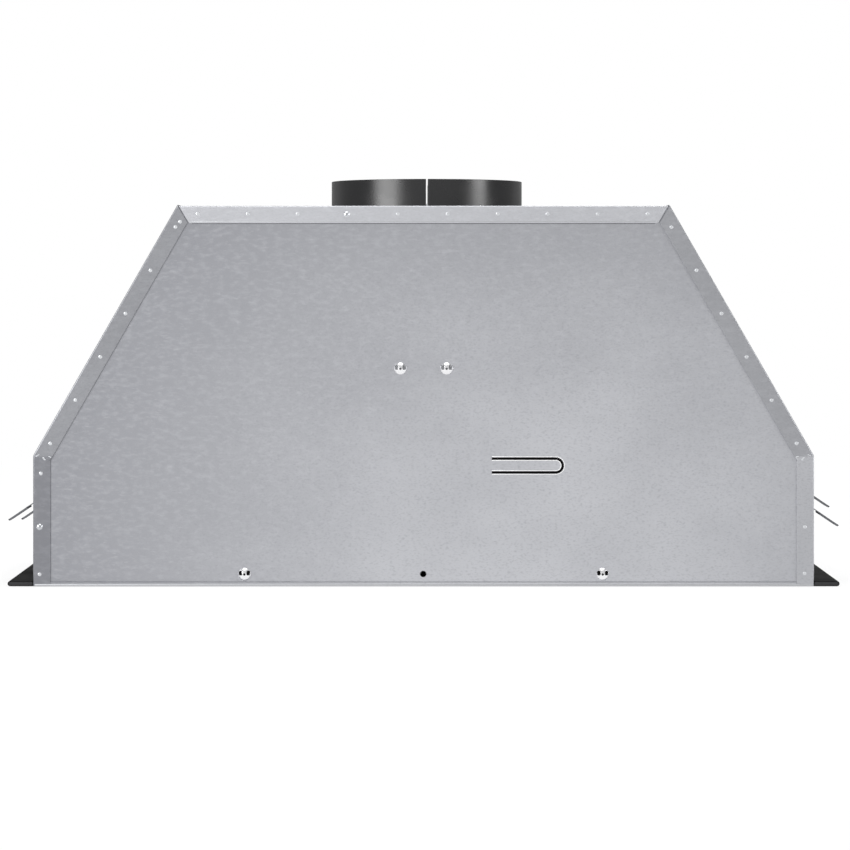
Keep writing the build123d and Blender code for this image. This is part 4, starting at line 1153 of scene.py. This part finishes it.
@dataclass
class SheetJoints:
    """Painted shadows in the laps under the turned strips, painted highlights along the edges
    beside them, and filled notches.
    """

    thickness: float = 0.12 * MM
    edge_round: float = 0.45        # share of the thickness
    smooth_degrees: float = 50.0
    # lap, lap_end and hem_lap carry painted shadow; lip and hem_lip carry painted highlight
    lap: Seam = Seam((-0.2005, 0.3140), (0.2005, 0.3140), 1.0, PANEL_INSET)
    lap_end: Seam = Seam((0.2042, 0.3146), (0.2123, 0.3282), 0.5)
    hem_lap: Seam = Seam((-0.3225, 0.0036), (0.3225, 0.0036), 0.5)
    lip: Seam = Seam((-0.2005, 0.3156), (0.2005, 0.3156), 0.7)
    hem_lip: Seam = Seam((-0.3365, 0.0011), (0.3365, 0.0011), 1.4)
    bend: Seam = Seam((0.3232, 0.109), (0.3366, 0.1126), 0.9)
    hem_end: Seam = Seam((0.3589, 0.0022), (0.3384, 0.0022), 3.0, 0.2 * MM)
    slit_start: float = 0.0592
    slit_end: float = 0.1146
    slit_height: float = 0.1044
    slit_radius: float = 6.0 * MM
    slit_width_mm: float = 2.4
    slit_proud: float = 0.04 * MM
    slit_steps: int = 12
    # the painted highlight lines beside the slit: their offset, width and sinking
    highlight_offset: float = 1.5 * MM
    highlight_width_mm: float = 0.7
    highlight_proud: float = 0.02 * MM
    hole: Place = (-0.0003, 0.0105)
    hole_radius: float = 2.5 * MM
    hole_width_mm: float = 0.6
    hole_steps: int = 20

    def build(self) -> None:
        """Closes the pan's hems, and lays the joints on the wall side and on the room side."""
        # the hem ends close the open hems; their grey is a painted highlight on the rolled edge
        ends = [self.bar("hem_end", self.hem_end.on(side)) for side in (-1, 1)]
        fit(join_all(ends, "pan_hem_ends"), Finishes.HEM_END)
        self.build_slit()
        self.build_hole()
        # painted shadows: dark bars under the strips' lower edges and along the mitres
        painted_shade = (self.lap, self.hem_lap, self.lap_end.on(-1), self.lap_end)
        # painted highlights: pale bars on the top strip's and the hem's lower edges
        painted_highlights = (self.lip, self.hem_lip)
        for label, face, inwards in (("rear", REAR_Y, 1), ("front", FRONT_Y, -1)):
            for seams, name, finish in (
                (painted_shade, f"{label}_lap_shadows", Finishes.JOINT),
                (painted_highlights, f"{label}_edge_highlights", Finishes.BURNISHED),
            ):
                bars = [self.bar("seam", seam, face, inwards) for seam in seams]
                fit(join_all(bars, name), finish)
            for side, side_label, finish in (
                (-1, "left", Finishes.LEFT_SHEET), (1, "right", Finishes.RIGHT_SHEET),
            ):
                name = f"{label}_{side_label}_bend_weld"
                filler = self.bar(name, self.bend.on(side), face, inwards)
                fit(filler, finish)

    def build_slit(self) -> None:
        """Lays black painted shade in the lanced cable tongue's slit and a painted highlight along
        each side of it.
        """
        # painted shade: black laid along the slit
        slit_shade = self.tongue(
            "tongue_slit_shade", 0.0, self.slit_width_mm, PANEL_INSET - self.slit_proud
        )
        # painted highlights: nearly white lines beside the slit
        slit_highlights = [
            self.tongue("slit_highlight_line", offset, self.highlight_width_mm, PANEL_INSET - self.highlight_proud)
            for offset in (self.highlight_offset, -self.highlight_offset)
        ]
        fit(slit_shade, Finishes.OXIDE)
        fit(join_all(slit_highlights, "tongue_slit_highlights"), Finishes.BURR)

    def tongue(self, name: str, offset: float, width_mm: float, sunk: float) -> Piece:
        """Lays a line along the tongue's slit, which is a U on its side.

        Args:
            name: The new object's name.
            offset: How far outside the slit's middle the line runs.
            width_mm: How wide it looks.
            sunk: How far it lies inside the turned strips' outer face.

        Returns:
            The line.
        """
        half = self.slit_radius + offset
        turned = arc((self.slit_end, self.slit_height), half, 90.0, -90.0, self.slit_steps)
        path = [
            (self.slit_start, self.slit_height + half), *turned,
            (self.slit_start, self.slit_height - half),
        ]
        return self.follow(name, path, width_mm, sunk)

    def build_hole(self) -> None:
        """Paints shade round the rear fixing hole: a black ring that widens its dark."""
        path = arc(self.hole, self.hole_radius, 0.0, 360.0, self.hole_steps)
        # painted shade: a black ring round the hole
        rim = self.follow("rear_hole_shade", path, self.hole_width_mm, PANEL_INSET)
        fit(rim, Finishes.OXIDE)

    def follow(
        self, name: str, path: Sequence[Place], width_mm: float, sunk: float
    ) -> Piece:
        """Lays bars one after another along a path on the wall side.

        Args:
            name: The new object's name.
            path: The places that it passes.
            width_mm: How wide it looks.
            sunk: How far it lies inside the turned strips' outer face.

        Returns:
            The bars as one object.
        """
        bars = [
            self.bar("step", Seam(start, end, width_mm, sunk))
            for start, end in zip(path, path[1:])
        ]
        return join_all(bars, name)

    def bar(self, name: str, seam: Seam, face: float = REAR_Y, inwards: int = 1) -> Piece:
        """Makes one thin rounded bar on a large side.

        Args:
            name: The new object's name.
            seam: The line that it follows.
            face: The Y of the turned strips' outer face.
            inwards: The way from that face into the housing, 1 or -1 along Y.

        Returns:
            The bar.
        """
        across = seam.end[0] - seam.start[0]
        upwards = seam.end[1] - seam.start[1]
        bar = primitive("cube", name, size=1.0)
        bar.scale = (math.dist(seam.start, seam.end), self.thickness, seam.width_mm * MM)
        settle(bar)
        modify(
            bar, "BEVEL", width=self.thickness * self.edge_round, segments=2,
            limit_method="ANGLE",
        )
        bar.rotation_euler = (0, -math.atan2(upwards, across), 0)
        bar.location = (
            (seam.start[0] + seam.end[0]) / 2,
            face + inwards * seam.sunk,
            (seam.start[1] + seam.end[1]) / 2,
        )
        settle(bar)
        smooth(bar, self.smooth_degrees)
        return bar


# ------------------------------------------------------------------ side spring clips
@dataclass(frozen=True)
class ClipPlace:
    """One clip: its name, its side, where its eye is and how long its leaf is."""

    label: str
    side: int
    y: float
    z: float
    length: float


@dataclass
class SpringClips:
    """The four leaves at the sides: tapered, stiffened by turned-down edges and hooked."""

    axis_x: float = 0.3392
    droop: float = 34.0
    thickness: float = 0.6 * MM
    root_half: float = 15.0 * MM
    tip_half: float = 7.0 * MM
    flange: float = 1.5 * MM
    flange_start: float = 9.0 * MM
    flange_end: float = 0.96        # share of the leaf's length
    edge_share: float = 0.98        # share of the half width past which an edge is outermost
    hook: Point = (-0.4 * MM, 0.0, -1.1 * MM)
    eye_radius: float = 0.9 * MM
    clips: tuple[ClipPlace, ...] = (
        ClipPlace("left_rear", -1, -0.101, 0.0715, 30.6 * MM),
        ClipPlace("right_rear", 1, -0.101, 0.0665, 30.6 * MM),
        ClipPlace("left_front", -1, -0.021, 0.0655, 30.6 * MM),
        ClipPlace("right_front", 1, -0.021, 0.079, 34.8 * MM),
    )

    def build(self) -> None:
        """Bends all four leaves."""
        for clip in self.clips:
            leaf = self.leaf(f"{clip.label}_spring_leaf", clip.length)
            leaf.rotation_euler = (0, math.radians(self.droop), 0)
            settle(leaf)
            if clip.side < 0:
                leaf.rotation_euler = (0, 0, math.radians(180))
            leaf.location = (clip.side * self.axis_x, clip.y, clip.z)
            settle(leaf)
            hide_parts(f"{clip.label}_clip")
            fit(leaf, Finishes.CLIP, f"{clip.label}_clip")

    def leaf(self, name: str, length: float) -> Piece:
        """Bends one leaf along +X from its rolled root at the origin.

        Args:
            name: The new object's name.
            length: Root to tip.

        Returns:
            The leaf, level, before it is drooped.
        """
        blade = primitive("grid", name, x_subdivisions=24, y_subdivisions=6, size=1.0)
        blade.scale = (length, 2 * self.root_half, 1.0)
        blade.location = (length / 2, 0, 0)
        settle(blade)
        slim = (self.root_half - self.tip_half) / length
        for corner in blade.data.vertices:
            corner.co.y *= (self.root_half - slim * corner.co.x) / self.root_half
        end = self.flange_end * length

        def at_side(a: Vector, b: Vector) -> bool:
            """Tells an edge of the long sides between the flange's ends.

            Args:
                a: One end of the edge.
                b: Its other end.

            Returns:
                Whether it is one.
            """
            outer = [abs(p.y) > self.edge_share * (self.root_half - slim * p.x) for p in (a, b)]
            inside = [self.flange_start < p.x < end for p in (a, b)]
            return all(outer + inside) and a.y * b.y > 0

        edit_where(blade, "EDGE", at_side)
        bpy.ops.mesh.extrude_edges_move(
            TRANSFORM_OT_translate={"value": (0, 0, -self.flange)}
        )
        leave_edit()
        tip = length - NEAR
        edit_where(blade, "EDGE", lambda a, b: a.x > tip and b.x > tip)
        bpy.ops.mesh.extrude_edges_move(TRANSFORM_OT_translate={"value": self.hook})
        leave_edit()
        face_outwards(blade)
        modify(blade, "SOLIDIFY", thickness=self.thickness, offset=0.0, use_even_offset=True)
        eye = primitive(
            "cylinder", "eye", vertices=24, radius=self.eye_radius, depth=2 * self.root_half,
            rotation=(math.radians(90), 0, 0),
        )
        settle(eye)
        whole = join_all([blade, eye], name)
        smooth(whole)
        return whole


# ------------------------------------------------------------------ duct collar
@dataclass
class DuctCollar:
    """The collar's two pressed halves with rounded rims and feet."""

    radius: float = 87.0 * MM
    wall: float = 1.0 * MM
    height: float = 25.4 * MM
    foot: float = 12.0 * MM
    gap: float = 1.5 * MM
    rim_radius: float = 0.35 * MM
    rim_degrees: float = 50.0
    sides: int = 144

    def build(self) -> None:
        """Makes both halves."""
        for side, label in ((-1, "left"), (1, "right")):
            half = self.half(side, f"{label}_collar_shell")
            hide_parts(f"{label}_collar_half")
            fit(half, Finishes.COLLAR)

    def half(self, side: int, name: str) -> Piece:
        """Rolls one half: an open ring, its foot turned out, cut at the gap and thickened.

        Args:
            side: -1 for the left half and 1 for the right one.
            name: The new object's name.

        Returns:
            The finished half.
        """
        foot_top = TOP_Z + self.wall
        length = self.height - self.wall
        ring = primitive(
            "cylinder", name, vertices=self.sides, radius=self.radius, depth=length,
            end_fill_type="NOTHING", location=(COLLAR_X, COLLAR_Y, foot_top + length / 2),
        )
        settle(ring)
        low = foot_top + NEAR
        edit_where(ring, "EDGE", lambda a, b: a.z < low and b.z < low)
        bpy.ops.mesh.extrude_edges_move()
        grown = (self.radius + self.foot) / self.radius
        bpy.ops.transform.resize(
            value=(grown, grown, 1.0), center_override=(COLLAR_X, COLLAR_Y, foot_top)
        )
        bpy.ops.mesh.select_all(action="SELECT")
        bpy.ops.mesh.bisect(
            plane_co=(COLLAR_X + side * self.gap / 2, COLLAR_Y, TOP_Z),
            plane_no=(side, 0, 0), clear_inner=True, use_fill=False,
        )
        face_outwards(ring)
        walls = [face for face in ring.data.polygons if abs(face.normal.z) < 0.5]
        centre = Vector((COLLAR_X, COLLAR_Y, 0))
        if (walls[0].center - centre).to_2d().dot(walls[0].normal.to_2d()) < 0:
            edit_all(ring)
            bpy.ops.mesh.flip_normals()
            leave_edit()
        modify(ring, "SOLIDIFY", thickness=self.wall, offset=-1.0, use_even_offset=True)
        modify(
            ring, "BEVEL", width=self.rim_radius, segments=2, limit_method="ANGLE",
            angle_limit=math.radians(self.rim_degrees),
        )
        smooth(ring)
        return ring


# ------------------------------------------------------------------ studio
@dataclass(frozen=True)
class Softbox:
    """One soft rectangular lamp: where it hangs, what it looks at, its size and its watts."""

    name: str
    place: Point
    target: Point
    size: tuple[float, float]
    power: float

    def hang(self) -> None:
        """Adds the lamp to the scene, turned to its target."""
        lamp = bpy.data.lights.new(self.name, "AREA")
        lamp.shape = "RECTANGLE"
        lamp.size, lamp.size_y = self.size
        lamp.energy = self.power
        holder = bpy.data.objects.new(self.name, lamp)
        bpy.context.scene.collection.objects.link(holder)
        holder.location = self.place
        away = Vector(self.place) - Vector(self.target)
        holder.rotation_euler = away.to_track_quat("Z", "Y").to_euler()


@dataclass
class Studio:
    """Floor, white surroundings, soft lamps and the camera."""

    camera_place: Point = (-0.0013, -2.601, 0.265)
    focal_mm: float = 120.15
    sensor_mm: float = 36.0
    shift_x: float = 0.0035
    shift_y: float = -0.1706
    nearest: float = 0.05
    farthest: float = 60.0
    world_level: float = 0.5
    front_level: float = 0.7        # what gloss sees straight behind the camera
    side_level: float = 0.3         # what it sees at the sides and over the room side
    front_edge: float = 0.35        # sines of the angles between which the one fades to the other
    side_edge: float = 0.85
    floor_size: float = 40.0
    floor_drop: float = 0.6 * MM
    floor_colour: str = "f4f4f4"
    floor_roughness: float = 0.9
    floor_lift: float = 0.75        # how white the floor is made near the object
    floor_near: float = 0.5
    floor_far: float = 1.6
    softboxes: tuple[Softbox, ...] = (
        Softbox("left_softbox", (-2.11, -1.77, 1.0), (0, 0, 0.15), (1.35, 1.6), 60.0),
        Softbox("right_softbox", (2.39, -1.02, 0.9), (0, 0, 0.15), (0.8, 1.6), 28.0),
        Softbox("top_softbox", (0.0, -0.6, 2.4), (0, 0, 0.2), (1.8, 1.2), 22.0),
        Softbox("rear_softbox", (0.4, 1.7, 2.3), (0, 0, 0.15), (2.0, 1.2), 30.0),
    )

    def build(self) -> None:
        """Sets up everything round the object."""
        self.build_world()
        self.build_floor()
        for softbox in self.softboxes:
            softbox.hang()
        self.build_camera()
        bpy.context.scene.view_settings.view_transform = "Standard"
        LOG.info("studio ready with %d lamps", len(self.softboxes))

    def build_world(self) -> None:
        """Shows white to the eye, soft light to matte faces and a faded room to gloss."""
        world = bpy.data.worlds.new("studio")
        bpy.context.scene.world = world
        world.use_nodes = True
        tree = world.node_tree
        tree.nodes.clear()
        path = add_node(tree, "LightPath")
        seen = add_node(
            tree, "Math",
            {0: path.outputs["Is Camera Ray"], 1: path.outputs["Is Transmission Ray"]},
            operation="MAXIMUM",
        )
        way = add_node(tree, "TexCoord").outputs["Generated"]
        parts = add_node(tree, "SeparateXYZ", {"Vector": way})
        sideways = add_node(tree, "Math", {0: parts.outputs["X"]}, operation="ABSOLUTE")
        aside = add_node(
            tree, "Math", {0: sideways.outputs[0], 1: parts.outputs["Y"]}, operation="MAXIMUM"
        )
        level = add_node(
            tree, "MapRange", {"Value": aside.outputs[0]},
            {
                "From Min": self.front_edge, "From Max": self.side_edge,
                "To Min": self.front_level, "To Max": self.side_level,
            },
            interpolation_type="SMOOTHSTEP",
        )
        plain = {"Color": (1, 1, 1, 1)}
        soft = add_node(tree, "Background", values={**plain, "Strength": self.world_level})
        white = add_node(tree, "Background", values={**plain, "Strength": 1.0})
        gloss = add_node(tree, "Background", {"Strength": level.outputs["Result"]}, plain)
        first = add_node(
            tree, "MixShader",
            {0: path.outputs["Is Glossy Ray"], 1: soft.outputs[0], 2: gloss.outputs[0]},
        )
        second = add_node(
            tree, "MixShader", {0: seen.outputs[0], 1: first.outputs[0], 2: white.outputs[0]}
        )
        add_node(tree, "OutputWorld", {"Surface": second.outputs[0]})

    def build_floor(self) -> None:
        """Lays a pale floor that fades to white and is open from below."""
        floor = primitive(
            "grid", "floor", x_subdivisions=8, y_subdivisions=8, size=self.floor_size
        )
        floor.location = (0, 0, -self.floor_drop)
        settle(floor)
        made = bpy.data.materials.new("pale_floor")
        made.use_nodes = True
        tree = made.node_tree
        shader = tree.nodes["Principled BSDF"]
        shader.inputs["Base Color"].default_value = linear(self.floor_colour)
        shader.inputs["Roughness"].default_value = self.floor_roughness
        glow = add_node(tree, "Emission", values={"Color": (1, 1, 1, 1), "Strength": 1.0})
        clear = add_node(tree, "BsdfTransparent")
        path = add_node(tree, "LightPath")
        place = add_node(tree, "TexCoord").outputs["Object"]
        reach = add_node(tree, "VectorMath", {0: place}, operation="LENGTH").outputs["Value"]
        far = Finish.spread(tree, reach, self.floor_lift, 1.0, self.floor_near, self.floor_far)
        eye = add_node(
            tree, "Math",
            {0: path.outputs["Is Camera Ray"], 1: path.outputs["Is Glossy Ray"]},
            operation="MAXIMUM",
        )
        lift = add_node(tree, "Math", {0: eye.outputs[0], 1: far}, operation="MULTIPLY")
        lit = add_node(
            tree, "MixShader", {0: lift.outputs[0], 1: shader.outputs[0], 2: glow.outputs[0]}
        )
        below = add_node(tree, "NewGeometry").outputs["Backfacing"]
        whole = add_node(
            tree, "MixShader", {0: below, 1: lit.outputs[0], 2: clear.outputs[0]}
        )
        tree.links.new(whole.outputs[0], tree.nodes["Material Output"].inputs["Surface"])
        floor.data.materials.append(made)

    def build_camera(self) -> None:
        """Puts the camera where the photograph was taken, level and square to the wall side."""
        camera = bpy.data.cameras.new("camera")
        camera.lens = self.focal_mm
        camera.sensor_width = self.sensor_mm
        camera.shift_x = self.shift_x
        camera.shift_y = self.shift_y
        camera.clip_start, camera.clip_end = self.nearest, self.farthest
        holder = bpy.data.objects.new("camera", camera)
        bpy.context.scene.collection.objects.link(holder)
        holder.location = self.camera_place
        holder.rotation_euler = (math.radians(90), 0, 0)
        bpy.context.scene.camera = holder


# ------------------------------------------------------------------ the whole
def clear_scene() -> None:
    """Removes whatever Blender starts with."""
    for leftover in list(bpy.data.objects):
        bpy.data.objects.remove(leftover)


def main() -> None:
    """Builds the looks in order."""
    logging.basicConfig(level=logging.INFO, format="%(message)s")
    clear_scene()
    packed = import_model()
    Studio().build()
    slots = {row["node"]: row["material_slot"] for row in packed["record"]["subparts"]}
    dressed = Frame(packed["nodes"], slots)
    dressed.dress()
    dressed.soften()
    Fasteners().build()
    SheetJoints().build()
    SpringClips().build()
    DuctCollar().build()


if __name__ == "__main__":
    main()
